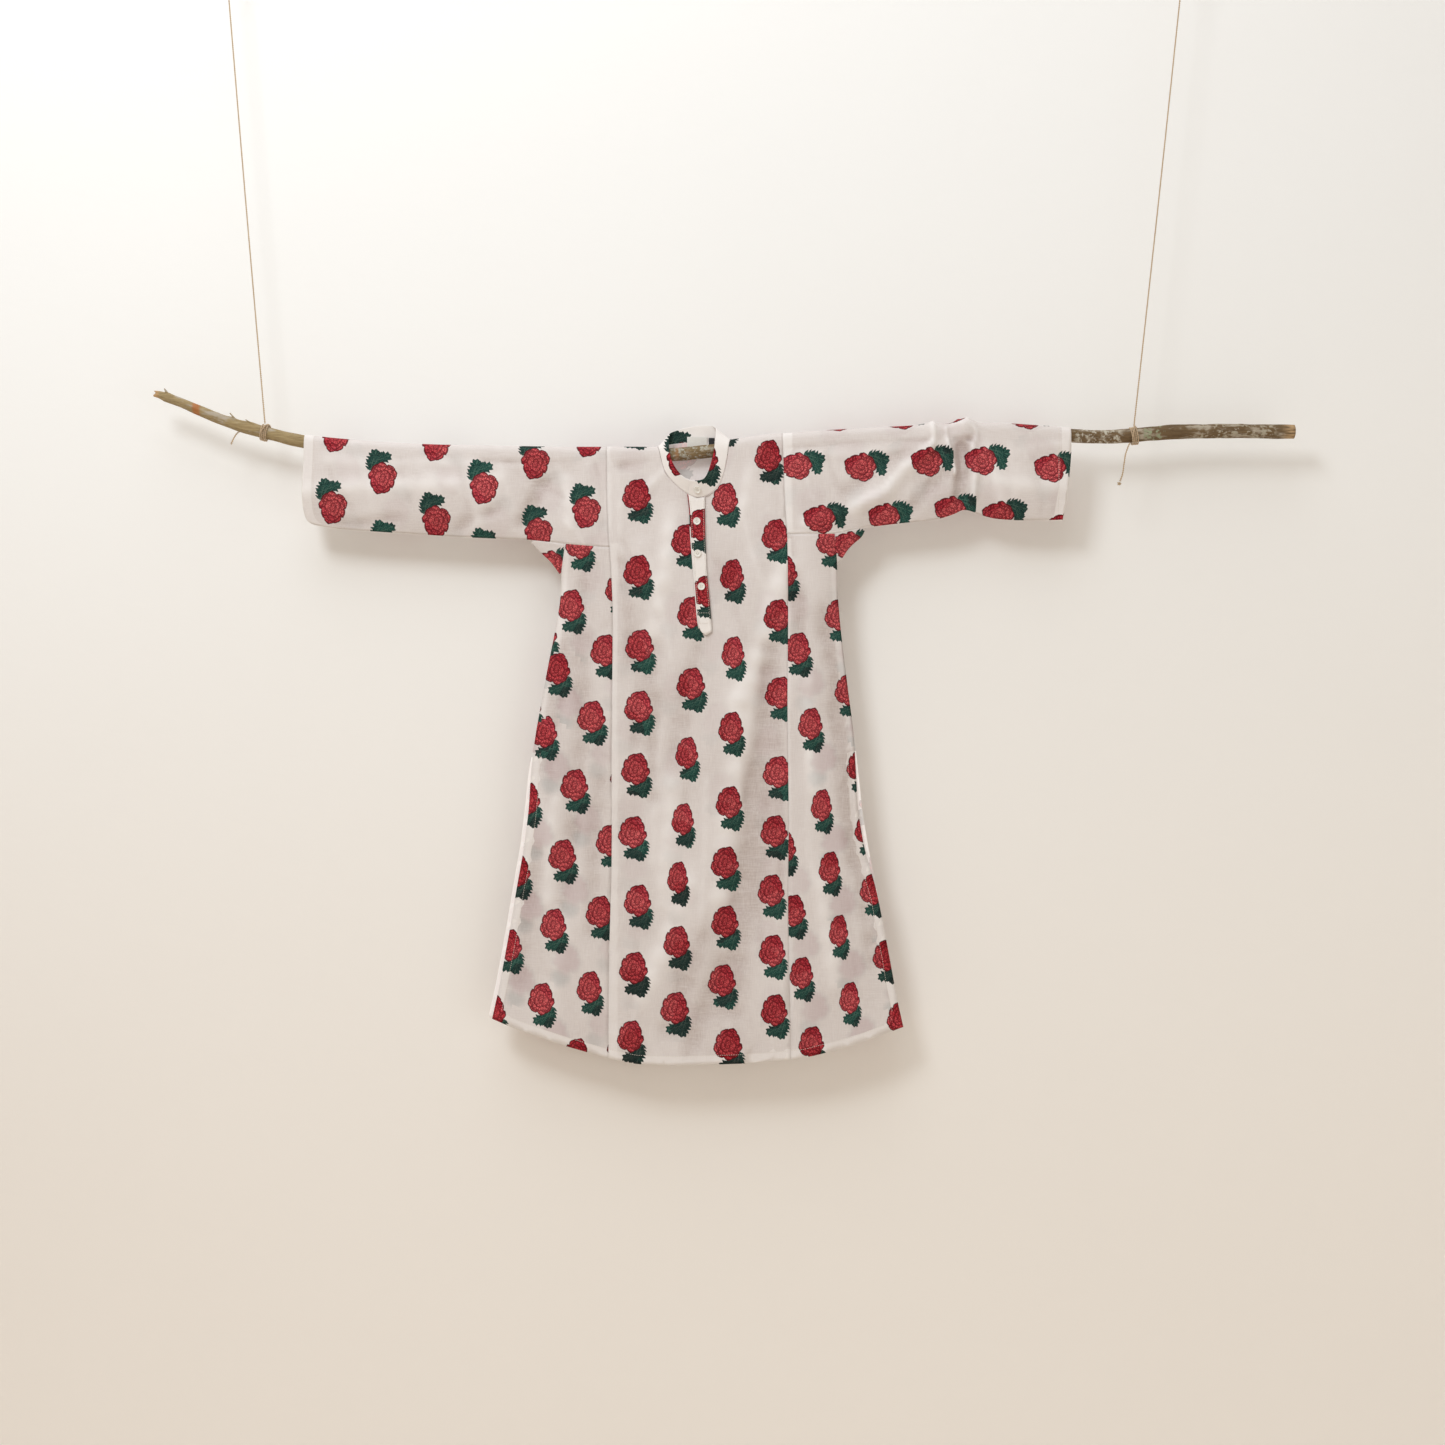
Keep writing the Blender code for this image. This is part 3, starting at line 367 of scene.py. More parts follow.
def twisted(name, points, loose=0.0, closed=False):
    """Two plies laid round a route. A loose end frays a little at its tip."""
    places, sides, ups, marks = steps_along(points, STRING_STEP)
    verts, faces = [], []
    for ply in range(2):
        start = len(verts)
        for index, (place, side, up, mark) in enumerate(zip(places, sides, ups, marks)):
            turn = 2 * math.pi * mark / PLY_PITCH + ply * math.pi
            spread = PLY_LAY * (1 + loose * max(0.0, 1 - (marks[-1] - mark) / FRAYED_LENGTH))
            middle = place + spread * (math.cos(turn) * side + math.sin(turn) * up)
            thick = PLY_RADIUS * (1 + 0.10 * math.sin(mark * 900 + ply) * math.sin(mark * 337))
            for edge in range(PLY_SIDES):
                angle = 2 * math.pi * edge / PLY_SIDES + turn
                verts.append(middle + thick * (math.cos(angle) * side + math.sin(angle) * up))
        rings = len(places)
        for ring in range(rings - 1):
            for edge in range(PLY_SIDES):
                low = start + ring * PLY_SIDES
                after = (edge + 1) % PLY_SIDES
                faces.append((low + edge, low + after, low + PLY_SIDES + after,
                              low + PLY_SIDES + edge))
        if closed:
            last = start + (rings - 1) * PLY_SIDES
            for edge in range(PLY_SIDES):
                after = (edge + 1) % PLY_SIDES
                faces.append((last + edge, last + after, start + after, start + edge))
        else:
            faces.append(tuple(range(start, start + PLY_SIDES))[::-1])
            faces.append(tuple(range(start + (rings - 1) * PLY_SIDES, start + rings * PLY_SIDES)))
    return mesh_piece(name, verts, faces)


def face_outwards(obj):
    """Turns every face of closed shapes to the outside."""
    only(obj)
    bpy.ops.object.mode_set(mode="EDIT")
    bpy.ops.mesh.select_all(action="SELECT")
    bpy.ops.mesh.normals_make_consistent(inside=False)
    bpy.ops.object.mode_set(mode="OBJECT")


# %% Jute material
def jute_material():
    material, tree, shader = new_material("jute", 0.92)
    place = object_place(tree)
    fibres = noise(tree, stretched(tree, place, (900.0, 900.0, 120.0)), 1.0, 3.0, 0.6)
    patches = noise(tree, place, 45.0, 2.0)
    tan = blend_colours(tree, fibres, srgb(178, 148, 112), srgb(232, 210, 178))
    tan = blend_colours(tree, between(tree, patches, 0.45, 0.75), tan, srgb(200, 174, 140))
    paint(tree, shader, tan, fibres, 0.6, 0.3 * MM)
    shader.inputs["Sheen Weight"].default_value = 0.25
    return material


jute = jute_material()
print("material", jute.name)

# %% Strings, their turns round the branch, loose ends, knots and loops
WRAP_TURNS = 4
WRAP_PITCH = 2.75 * MM
STEPS_A_TURN = 26
CROSSING_STEPS = 14


def winding(side):
    """Turns round the branch that lean a little, with one turn that crosses over the rest."""
    foot = STRING_RUNS[side][0]
    centre = Vector((foot[0], 0.0, float(branch_z(foot[0]))))
    ahead = Vector((foot[0] + 0.012, 0.0, float(branch_z(foot[0] + 0.012))))
    axis = (ahead - centre).normalized()
    front = Vector((0.0, -1.0, 0.0))
    up = front.cross(axis).normalized()
    if up.z < 0:
        up = -up
    radius = float(branch_radius(foot[0])) + STRING_RADIUS + 0.5 * MM

    def around(along, out, turn):
        return centre + axis * along + out * (math.cos(turn) * up + math.sin(turn) * front)

    route = []
    steps = STEPS_A_TURN * WRAP_TURNS
    for index in range(steps + 1):
        turn = 2 * math.pi * index / STEPS_A_TURN
        along = (index / steps - 0.5) * WRAP_PITCH * WRAP_TURNS
        route.append(around(along, radius + 0.25 * MM * math.sin(turn * 1.7), turn))
    crossing = []
    half = WRAP_PITCH * WRAP_TURNS / 2
    for index in range(CROSSING_STEPS + 1):
        share = index / CROSSING_STEPS
        out = radius + 1.9 * STRING_RADIUS * math.sin(math.pi * share) ** 0.5
        crossing.append(around(half * (0.9 - 1.8 * share), out, math.radians(-20 + 130 * share)))
    return route, crossing


def ring_route(low, high):
    """An upright loop that fits between two corners."""
    centre = (low + high) / 2
    radius = (high.x - low.x) / 2 - STRING_RADIUS
    return [centre + radius * Vector((math.sin(a), 0.0, -math.cos(a)))
            for a in np.linspace(0, 2 * math.pi, 40)[:-1]]


def joined(name, pieces):
    bpy.ops.object.select_all(action="DESELECT")
    for piece in pieces:
        piece.select_set(True)
    bpy.context.view_layer.objects.active = pieces[0]
    bpy.ops.object.join()
    pieces[0].name = name
    return pieces[0]


def knot_piece(name, node):
    """An overhand knot: a string that winds twice round itself inside the solid's ball."""
    low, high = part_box(node)
    centre = (low + high) / 2
    size = (high.x - low.x) / 2 - STRING_RADIUS * 0.8
    route = []
    for index in range(61):
        a = 4 * math.pi * index / 60
        out = size * (0.62 + 0.30 * math.cos(1.5 * a))
        route.append(centre + Vector((out * math.cos(a), out * math.sin(a),
                                      size * 0.62 * math.sin(1.5 * a))))
    return twisted(name, route)


def hold_as_jute(piece, *replaced):
    face_outwards(piece)
    piece.data.materials.append(jute)
    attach(piece, "root")
    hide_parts(*replaced)


for side in ("left", "right"):
    turns, crossing = winding(side)
    wrap = joined(f"string_turns_{side}", [twisted(f"turns_{side}", turns),
                                           twisted(f"crossing_{side}", crossing)])
    hold_as_jute(wrap, f"wrap_{side}")
    run = smooth_route(STRING_RUNS[side], 24)
    rope = twisted(f"hanging_string_{side}", run)
    hold_as_jute(rope, f"string_{side}")
    knot = knot_piece(f"string_knot_{side}", f"knot_{side}")
    hold_as_jute(knot, f"knot_{side}")
    loop = twisted(f"string_loop_{side}", ring_route(*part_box(f"loop_{side}")))
    hold_as_jute(loop, f"loop_{side}")
    tail_route = smooth_route(TAILS[side], 12)
    tail = twisted(f"string_tail_{side}", tail_route, loose=0.8)
    hold_as_jute(tail, f"tail_{side}")
    if side == "right":
        tail_knot = knot_piece("string_tail_knot", "tail_knot")
        hold_as_jute(tail_knot, "tail_knot")

# %% [markdown]
# ## Branch
#
# The branch is a dead stick with thin bark. Its solid is copied, welded and rounded by
# subdivision, and then each point moves in or out a little: long ridges along the grain, low
# knots, and a broken tip. The stubs of broken twigs are small cones of their own.


# %% Copy a solid as a mesh of quads
def open_ends(obj, is_end):
    """Takes the end faces off, where two solids that are one real piece meet."""
    only(obj)
    bpy.ops.object.mode_set(mode="EDIT")
    bpy.ops.mesh.select_mode(type="FACE")
    bpy.ops.mesh.select_all(action="DESELECT")
    mesh = bmesh.from_edit_mesh(obj.data)
    for face in mesh.faces:
        face.select_set(is_end(face.calc_center_median(), face.normal))
    bmesh.update_edit_mesh(obj.data)
    bpy.ops.mesh.delete(type="FACE")
    bpy.ops.object.mode_set(mode="OBJECT")


def welded_copy(sources, name, is_end=None, weld=0.02 * MM, sharp=50.0):
    """A copy of solids as one mesh: welded, back to quads, with its sharp edges marked."""
    copies = []
    for node in sources:
        obj = bpy.data.objects.new(name, nodes[node].data.copy())
        scene.collection.objects.link(obj)
        obj.data.materials.clear()
        copies.append(obj)
    obj = joined(name, copies) if len(copies) > 1 else copies[0]
    if is_end:
        open_ends(obj, is_end)
    only(obj)
    bpy.ops.object.mode_set(mode="EDIT")
    bpy.ops.mesh.select_mode(type="EDGE")
    bpy.ops.mesh.select_all(action="SELECT")
    bpy.ops.mesh.remove_doubles(threshold=weld)
    bpy.ops.mesh.tris_convert_to_quads(face_threshold=math.radians(50),
                                       shape_threshold=math.radians(140))
    bpy.ops.mesh.select_all(action="DESELECT")
    bpy.ops.mesh.edges_select_sharp(sharpness=math.radians(sharp))
    bpy.ops.transform.edge_crease(value=1.0)
    bpy.ops.object.mode_set(mode="OBJECT")
    return obj


def round_off(obj, levels):
    """Subdivides a mesh smoothly; only the marked edges stay sharp."""
    only(obj)
    modifier = obj.modifiers.new("Round", "SUBSURF")
    modifier.levels = modifier.render_levels = levels
    bpy.ops.object.modifier_apply(modifier=modifier.name)
    bpy.ops.object.shade_smooth_by_angle(angle=math.radians(48))


def points_of(obj):
    flat = np.empty(len(obj.data.vertices) * 3, np.float32)
    obj.data.vertices.foreach_get("co", flat)
    return flat.reshape(-1, 3).astype(float)


def move_points(obj, points):
    obj.data.vertices.foreach_set("co", points.astype(np.float32).ravel())
    obj.data.update()


print("branch solids", [node for node in nodes if node.startswith("branch")])

# %% Bark shape
CLOTH_REACH = 0.62
ROOM_UNDER_CLOTH = 0.35 * MM
SCARS = (
    # x, degrees up from the front, length along the branch, degrees wide, height
    (-0.8280, 60.0, 0.0060, 34.0, 0.0024),
    (-0.7847, 12.0, 0.0070, 30.0, 0.0021),
    (-0.7290, 70.0, 0.0060, 30.0, 0.0018),
    (-0.7000, 74.0, 0.0090, 22.0, 0.0012),
    (-0.6480, -40.0, 0.0100, 26.0, 0.0013),
    (0.6300, 40.0, 0.0100, 32.0, 0.0014),
    (0.7300, 24.0, 0.0080, 34.0, 0.0022),
    (0.8440, 44.0, 0.0090, 30.0, 0.0020),
    (0.8900, -30.0, 0.0110, 26.0, 0.0013),
)


def cut_long_edges(obj, longest, cuts):
    """Splits the edges that are longer than this, so that later moves have points to move."""
    only(obj)
    bpy.ops.object.mode_set(mode="EDIT")
    bpy.ops.mesh.select_mode(type="EDGE")
    bpy.ops.mesh.select_all(action="DESELECT")
    mesh = bmesh.from_edit_mesh(obj.data)
    for edge in mesh.edges:
        edge.select_set(edge.calc_length() > longest)
    bmesh.update_edit_mesh(obj.data)
    bpy.ops.mesh.subdivide(number_cuts=cuts)
    bpy.ops.object.mode_set(mode="OBJECT")


def bark_relief(points):
    """How far the bark stands out at each point, in metres, and its way out."""
    x = points[:, 0]
    out = np.stack([np.zeros(len(x)), points[:, 1], points[:, 2] - branch_z(x)], axis=1)
    distance = np.linalg.norm(out, axis=1)
    angle = np.arctan2(out[:, 2], -out[:, 1])
    grain = 0.22 * np.sin(7 * angle + 2.6 * np.sin(13 * x) + 0.8 * np.sin(57 * x))
    grain += 0.16 * np.sin(13 * angle - 2.0 * np.sin(29 * x + 1.0))
    grain += 0.10 * np.sin(22 * angle + 1.7 * np.sin(71 * x))
    lumps = 0.42 * np.sin(37 * x + 1.3) * np.sin(angle + 9 * x)
    lumps += 0.26 * np.sin(83 * x + 2 * angle) + 0.16 * np.sin(171 * x - 3 * angle)
    height = (grain + lumps) * MM
    for place, turn, length, wide, raised in SCARS:
        off = np.degrees(np.angle(np.exp(1j * (angle - math.radians(turn)))))
        reach = ((x - place) / length) ** 2 + (off / wide) ** 2
        height += raised * (np.exp(-reach) - 0.55 * np.exp(-reach * 7.0))
    height = np.where(np.abs(x) < CLOTH_REACH, np.minimum(height, ROOM_UNDER_CLOTH), height)
    weight = np.clip(distance / (0.5 * branch_radius(x)), 0, 1)
    return height * weight, out / np.maximum(distance, 1e-6)[:, None]


def where_branch_meets(middle, way):
    """True for the end faces where one solid of the branch meets the next."""
    return abs(way.x) > 0.9 and abs(middle.x) < 0.6


BRANCH_NODES = ("branch_left_end", "branch_left", "branch_middle", "branch_right")
SNAPPED_FROM = -0.8360
SNAPPED_LENGTH = 0.0126
bark = welded_copy(BRANCH_NODES, "bark", weld=0.5 * MM, is_end=where_branch_meets)
round_off(bark, 3)
cut_long_edges(bark, 4.0 * MM, 1)
points = points_of(bark)
relief, out = bark_relief(points)
points += out * relief[:, None]
snapped = np.clip((SNAPPED_FROM - points[:, 0]) / SNAPPED_LENGTH, 0, 1)
splinters = 2.4 * np.sin(points[:, 1] * 900) + 2.0 * np.sin(points[:, 2] * 700)
points[:, 0] += snapped * splinters * MM
points[:, 0] -= snapped * (points[:, 2] - branch_z(points[:, 0])) * 0.45
move_points(bark, points)
print("bark", len(bark.data.polygons), "faces")


# %% Spurs of broken twigs on the branch
def twig_stub(name, foot, tip, thick):
    """A broken twig: a cone set on the bark, cut into rings that are moved off its line."""
    foot, tip = Vector(foot), Vector(tip)
    length = (tip - foot).length
    turn = (tip - foot).to_track_quat("Z", "Y")
    bpy.ops.object.select_all(action="DESELECT")
    bpy.ops.mesh.primitive_cone_add(vertices=10, radius1=thick, radius2=thick * 0.35, depth=length,
                                    location=(foot + tip) / 2, rotation=turn.to_euler())
    stub = bpy.context.object
    stub.name = name
    bpy.ops.object.transform_apply(location=True, rotation=True, scale=True)
    cut_long_edges(stub, length * 0.6, 4)
    shape = points_of(stub)
    shape += 0.12 * thick * np.sin(shape[:, [2, 0, 1]] * 2100)
    move_points(stub, shape)
    round_off(stub, 1)
    return stub


SPURS = (
    # name, foot, tip and radius
    ("spur_tip", (-0.8300, -0.0030, 0.0900), (-0.8345, -0.0050, 0.0985), 0.0026),
    ("spur_peg", (-0.7225, -0.0040, 0.0480), (-0.7325, -0.0062, 0.0604), 0.0022),
    ("spur_sliver", (-0.6910, -0.0050, 0.0395), (-0.7085, -0.0056, 0.0500), 0.0014),
)
spurs = [twig_stub(*row) for row in SPURS]
print("spurs", [spur.name for spur in spurs])

# %% [markdown]
# Dead bark is never one brown. The left end is olive and tan, the right end dark, and pale
# lichen sits in patches. Everything is read from the place along the branch, and the noise is
# stretched along it, so the streaks run with the grain.


# %% Bark material
def patch_mask(tree, x_place, low, high, soft):
    """1 between two places along the branch, with soft ends."""
    rising = between(tree, x_place, low - soft, low + soft)
    falling = between(tree, x_place, high + soft, high - soft)
    return product(tree, rising, falling)


LICHEN = (
    # from and to along the branch, and its colour
    (0.585, 0.655, (196, 190, 174)),
    (0.690, 0.722, (150, 156, 126)),
    (0.775, 0.895, (172, 162, 142)),
    (-0.060, 0.020, (176, 172, 158)),
)
BARE_SCARS = (
    # middle, reach to each side, strength and colour
    (-0.7847, 0.0080, 0.8, (176, 106, 52)),
    (-0.0360, 0.0040, 0.4, (170, 112, 66)),
)


def bark_material():
    material, tree, shader = new_material("bark", 0.88)
    place = object_place(tree)
    along = axes_of(tree, place)[0]
    streaks = noise(tree, stretched(tree, place, (38.0, 420.0, 420.0)), 1.0, 5.0, 0.62)
    blotches = noise(tree, stretched(tree, place, (34.0, 90.0, 90.0)), 1.0, 4.0, 0.6)
    dark = blend_colours(tree, streaks, srgb(66, 48, 29), srgb(137, 112, 78))
    olive = blend_colours(tree, streaks, srgb(112, 92, 58), srgb(192, 170, 126))
    base = blend_colours(tree, between(tree, along, -0.60, 0.35), olive, dark)
    base = blend_colours(tree, between(tree, blotches, 0.50, 0.66), base, srgb(176, 164, 146))
    flecks = between(tree, noise(tree, place, 150.0, 4.0, 0.6), 0.50, 0.60)
    for low, high, colour in LICHEN:
        where = product(tree, patch_mask(tree, along, low, high, 0.008), flecks)
        base = blend_colours(tree, where, base, srgb(*colour))
    for middle, reach, strength, colour in BARE_SCARS:
        off = maths(tree, "ABSOLUTE", maths(tree, "SUBTRACT", along, middle))
        where = product(tree, between(tree, off, reach, reach * 0.4), strength)
        base = blend_colours(tree, where, base, srgb(*colour))
    raw_end = product(tree, between(tree, along, 0.902, 0.924), between(tree, streaks, 0.35, 0.55))
    base = blend_colours(tree, raw_end, base, srgb(190, 158, 118))
    base = blend_colours(tree, between(tree, along, -0.8400, -0.8470), base, srgb(186, 150, 108))
    cracks = maths(tree, "ADD", product(tree, streaks, 0.8), product(tree, flecks, 0.25))
    paint(tree, shader, base, cracks, 0.9, 1.2 * MM)
    return material


bark_finish = bark_material()
for piece in [bark] + spurs:
    face_outwards(piece)
    piece.data.materials.append(bark_finish)
    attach(piece, "root")
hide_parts(*BRANCH_NODES)

# %% [markdown]
# ## Cotton
#
# The kurta is a thin cotton voile, printed by block with one rose and its leaf again and again.
# The print is drawn by a shader node group from a UV map. On each face the map holds its place
# from the middle of the nearest rose, so each rose stands where its centre is listed. A second
# map does the same for the roses on the far side of the kurta, which show through faintly.

# %% Where the roses are, in pixels of the photograph
ROSES = {
    # x and y of the bloom's middle, and its width as a share of a flat one
    "front_centre": (
        (633, 422, 1.0), (637, 496, 1.0), (638, 572, 1.0), (640, 646, 1.0), (639, 707, 1.0),
        (636, 769, 1.0), (633, 832, 1.0), (638, 900, 0.95), (634, 967, 1.0), (631, 1035, 0.93),
        (685, 541, 0.95), (691, 613, 0.95), (691, 684, 1.0), (687, 753, 0.80), (683, 819, 0.78),
        (678, 877, 0.73), (677, 941, 0.92), (675, 1007, 1.0),
        (724, 419, 0.90), (725, 500, 0.92), (732, 576, 0.84), (733, 653, 0.80), (731, 728, 0.88),
        (729, 802, 0.92), (725, 862, 0.98), (725, 921, 0.96), (722, 980, 0.98), (728, 1043, 1.0),
        (768, 457, 0.95), (775, 536, 0.95), (777, 616, 0.95), (779, 693, 1.0), (777, 772, 1.0),
        (774, 831, 0.95), (771, 890, 0.93), (772, 950, 0.93), (774, 1009, 0.93),
    ),
    "side_front_left": (
        (580, 544, 0.97), (571, 606, 0.97), (557, 669, 0.98), (544, 732, 0.98), (527, 799, 0.98),
        (517, 871, 0.98), (509, 945, 0.95), (493, 1011, 0.95),
        (620, 589, 1.0), (605, 651, 0.98), (592, 717, 1.0), (575, 785, 0.98), (563, 855, 0.98),
        (554, 924, 0.93), (542, 998, 0.93), (577, 1053, 0.90),
        (625, 775, 1.0), (610, 840, 0.95), (600, 911, 0.95), (590, 986, 0.88), (622, 1044, 1.0),
        (543, 634, 1.0), (527, 706, 1.0),
    ),
    "side_front_right": (
        (838, 615, 0.95), (848, 690, 0.95), (860, 766, 0.95), (868, 829, 0.95), (873, 889, 0.95),
        (886, 955, 0.95), (900, 1017, 0.95),
        (830, 541, 1.0), (783, 573, 1.0), (797, 649, 0.95), (810, 724, 0.86), (821, 805, 0.74),
        (829, 867, 0.76), (838, 930, 0.68), (849, 997, 0.72),
        (783, 847, 0.90), (792, 910, 0.95), (801, 972, 0.83), (811, 1041, 0.89),
    ),
    "sleeve_left": (
        (337, 437, 1.0), (334, 508, 1.0), (384, 479, 1.0), (387, 549, 1.0), (437, 446, 1.0),
        (437, 522, 1.0), (485, 489, 1.0), (487, 557, 1.0), (536, 464, 1.0), (539, 534, 1.0),
        (589, 442, 1.0), (587, 513, 1.0),
    ),
    "sleeve_right": (
        (796, 467, 0.95), (860, 468, 1.0), (926, 463, 1.0), (980, 462, 1.0), (1049, 469, 1.0),
        (819, 520, 1.0), (884, 518, 1.0), (950, 510, 0.95), (998, 516, 1.0), (1064, 527, 1.0),
        (835, 417, 1.0), (900, 416, 1.0), (954, 411, 1.0), (1025, 416, 1.0),
    ),
    "gusset_left": ((549, 565, 1.0),),
    "gusset_right": ((848, 546, 1.0),),
}
ROSE_TURN = {"sleeve_left": 180.0, "sleeve_right": 90.0, "gusset_left": 90.0,
             "gusset_right": 90.0}
ROSE_SIZE = 23.2 * MM
FAR_DROP = 34 * PIXEL
FAR_CENTRE_SHIFT = 0.012
FAR_SIDE_SHIFT = 0.021
LEAF_SIDE = 7.0


def in_metres(pixel_x, pixel_y):
    return (pixel_x - 700) * PIXEL, (452 - pixel_y) * PIXEL


def roses_of(node):
    """Rose centres as x, z and width, for a front piece or for the back one behind it."""
    return [(*in_metres(x, y), width) for x, y, width in ROSES[node]]


def far_roses_of(node):
    """The back's roses: the front's own layout, moved sideways and down."""
    moved = []
    for x, z, _ in roses_of(node):
        if node == "front_centre":
            far_x = FAR_CENTRE_SHIFT - 0.98 * x
        else:
            far_x = x + FAR_SIDE_SHIFT
        moved.append((far_x, z - FAR_DROP, 1.0))
    return moved


print({node: len(roses_of(node)) for node in ROSES})

# %% [markdown]
# Cloth that hangs never lies flat. Broad folds fall from the chest to the hem, the right sleeve
# is bunched where it was pushed along the branch, and small creases run everywhere. Each one is
# a listed row: a line in pixels of the photograph, a width and a height. The back, which
# can't be seen, has folds like the front's.

# %% Folds and creases of the cloth, in pixels of the photograph
CREASES_FRONT = (
    # small creases: x0, y0, x1, y1, width, height in mm (a trough is below 0)
    (330, 470, 352, 512, 5.0, -1.1),
    (356, 440, 372, 500, 5.5, 0.9),
    (398, 446, 412, 508, 5.0, -1.0),
    (420, 470, 470, 498, 4.5, 0.8),
    (452, 452, 474, 520, 5.0, -1.1),
    (500, 450, 512, 512, 5.0, 0.9),
    (520, 474, 566, 500, 4.5, -0.9),
    (556, 450, 574, 520, 5.0, 0.9),
    (596, 456, 604, 530, 4.0, -0.9),
    (566, 524, 600, 560, 4.5, 0.9),
    (616, 470, 624, 560, 4.5, 0.8),
    (622, 540, 660, 620, 5.0, -1.0),
    (652, 560, 672, 660, 5.0, 0.9),
    (716, 560, 746, 640, 5.5, -1.0),
    (744, 520, 766, 600, 5.0, 0.9),
    (776, 470, 782, 560, 4.5, -0.8),
    (800, 446, 812, 500, 4.5, 0.9),
    (826, 452, 846, 512, 5.0, -1.0),
    (852, 520, 884, 470, 4.5, 0.9),
    (900, 452, 880, 500, 4.5, -1.2),
    (918, 448, 906, 510, 4.5, 1.0),
    (936, 444, 926, 500, 4.0, -1.1),
    (968, 452, 974, 500, 4.0, 1.1),
    (984, 446, 994, 512, 4.5, -1.0),
    (1010, 448, 1014, 506, 4.5, 0.8),
    (1034, 452, 1040, 512, 4.5, -0.9),
    (860, 540, 842, 580, 4.0, -0.9),
    (836, 560, 846, 640, 5.0, 0.9),
    (800, 590, 808, 700, 5.5, -1.0),
    (560, 580, 548, 660, 5.0, -0.9),
    (590, 570, 582, 690, 5.5, 0.9),
    (562, 690, 548, 800, 5.5, -0.9),
    (530, 820, 514, 940, 6.0, 0.9),
    (560, 900, 548, 1010, 5.5, -0.9),
    (586, 760, 580, 880, 5.5, 0.8),
    (640, 660, 630, 780, 6.0, -1.0),
    (662, 720, 652, 860, 6.0, 0.9),
    (690, 700, 684, 820, 5.5, -0.9),
    (708, 780, 700, 930, 6.0, 1.0),
    (736, 700, 744, 830, 6.0, 0.9),
    (764, 640, 770, 780, 5.5, -0.9),
    (756, 820, 762, 960, 6.0, -1.0),
    (776, 860, 780, 980, 5.0, 0.8),
    (640, 900, 630, 1020, 5.5, -0.9),
    (676, 900, 680, 1030, 6.0, -1.0),
    (724, 900, 730, 1040, 6.0, 0.9),
    (830, 700, 842, 820, 5.5, -0.9),
    (858, 800, 868, 930, 6.0, 0.9),
    (846, 880, 856, 1000, 5.5, -0.9),
    (806, 760, 812, 880, 5.0, 0.8),
)
FOLDS_FRONT = (
    # broad soft folds: x0, y0, x1, y1, width, height in mm
    (790, 560, 742, 700, 17.0, 3.9),
    (742, 700, 722, 900, 18.0, 3.6),
    (772, 650, 752, 800, 15.0, -3.9),
    (760, 790, 746, 900, 24.0, -4.6),
    (742, 880, 730, 1010, 22.0, -4.2),
    (778, 700, 780, 900, 9.0, -2.2),
    (724, 970, 690, 1045, 15.0, -3.8),
    (806, 680, 814, 790, 9.0, 3.0),
    (820, 880, 832, 980, 10.0, 2.4),
    (828, 620, 842, 720, 15.0, -5.4),
    (842, 720, 856, 860, 14.0, -5.0),
    (858, 820, 870, 960, 12.0, -3.6),
    (790, 545, 792, 600, 12.0, -3.6),
    (800, 600, 800, 660, 10.0, -2.6),
    (672, 520, 654, 640, 14.0, 3.0),
    (654, 640, 640, 740, 13.0, -2.7),
    (700, 640, 672, 760, 14.0, -2.2),
    (672, 780, 664, 900, 14.0, 2.4),
    (656, 700, 652, 800, 9.0, -2.8),
    (690, 880, 644, 990, 15.0, 3.4),
    (704, 930, 668, 1030, 15.0, -2.8),
    (622, 560, 634, 660, 10.0, -2.1),
    (588, 560, 578, 690, 15.0, -2.8),
    (562, 590, 556, 640, 8.0, 1.8),
    (566, 640, 548, 760, 12.0, -2.7),
    (584, 690, 574, 830, 13.0, -2.6),
    (556, 800, 546, 900, 9.0, 2.0),
    (574, 830, 562, 900, 10.0, -2.4),
    (600, 780, 590, 930, 12.0, -2.4),
    (536, 850, 520, 980, 13.0, -2.5),
    (560, 930, 548, 1020, 13.0, 2.2),
    (486, 461, 606, 455, 6.0, -5.0),
    (330, 462, 470, 466, 9.0, 1.5),
    (544, 486, 524, 520, 9.0, -6.4),
    (498, 508, 460, 528, 9.0, -3.4),
    (500, 480, 470, 530, 11.0, 2.4),
    (460, 484, 310, 492, 13.0, 3.0),
    (400, 520, 340, 524, 8.0, -2.4),
    (566, 480, 572, 530, 9.0, 2.1),
    (620, 466, 668, 452, 8.0, -2.4),
    (640, 500, 668, 470, 8.0, 2.1),
    (752, 470, 738, 520, 9.0, 2.1),
    (790, 444, 925, 439, 5.5, -5.1),
    (800, 456, 900, 452, 7.0, 1.5),
    (932, 446, 876, 500, 9.0, 6.0),
    (888, 492, 858, 508, 9.0, 4.0),
    (872, 500, 806, 526, 9.0, 3.6),
    (896, 456, 846, 490, 9.0, -3.6),
    (946, 474, 900, 516, 10.0, -3.9),
    (934, 420, 930, 446, 4.2, 7.0),
    (940, 427, 940, 437, 3.2, -9.0),
    (946, 430, 953, 474, 3.2, 6.5),
    (961, 446, 960, 496, 9.0, -7.0),
    (973, 448, 974, 498, 4.5, 4.0),
    (958, 424, 967, 424, 7.0, 7.5),
    (955, 438, 969, 438, 3.6, -9.0),
    (974, 430, 976, 442, 2.6, 5.0),
    (984, 446, 1000, 506, 10.0, 2.4),
    (1000, 486, 1060, 486, 12.0, 2.6),
    (1016, 450, 1060, 446, 7.0, 1.5),
    (846, 540, 838, 610, 8.0, -2.4),
)
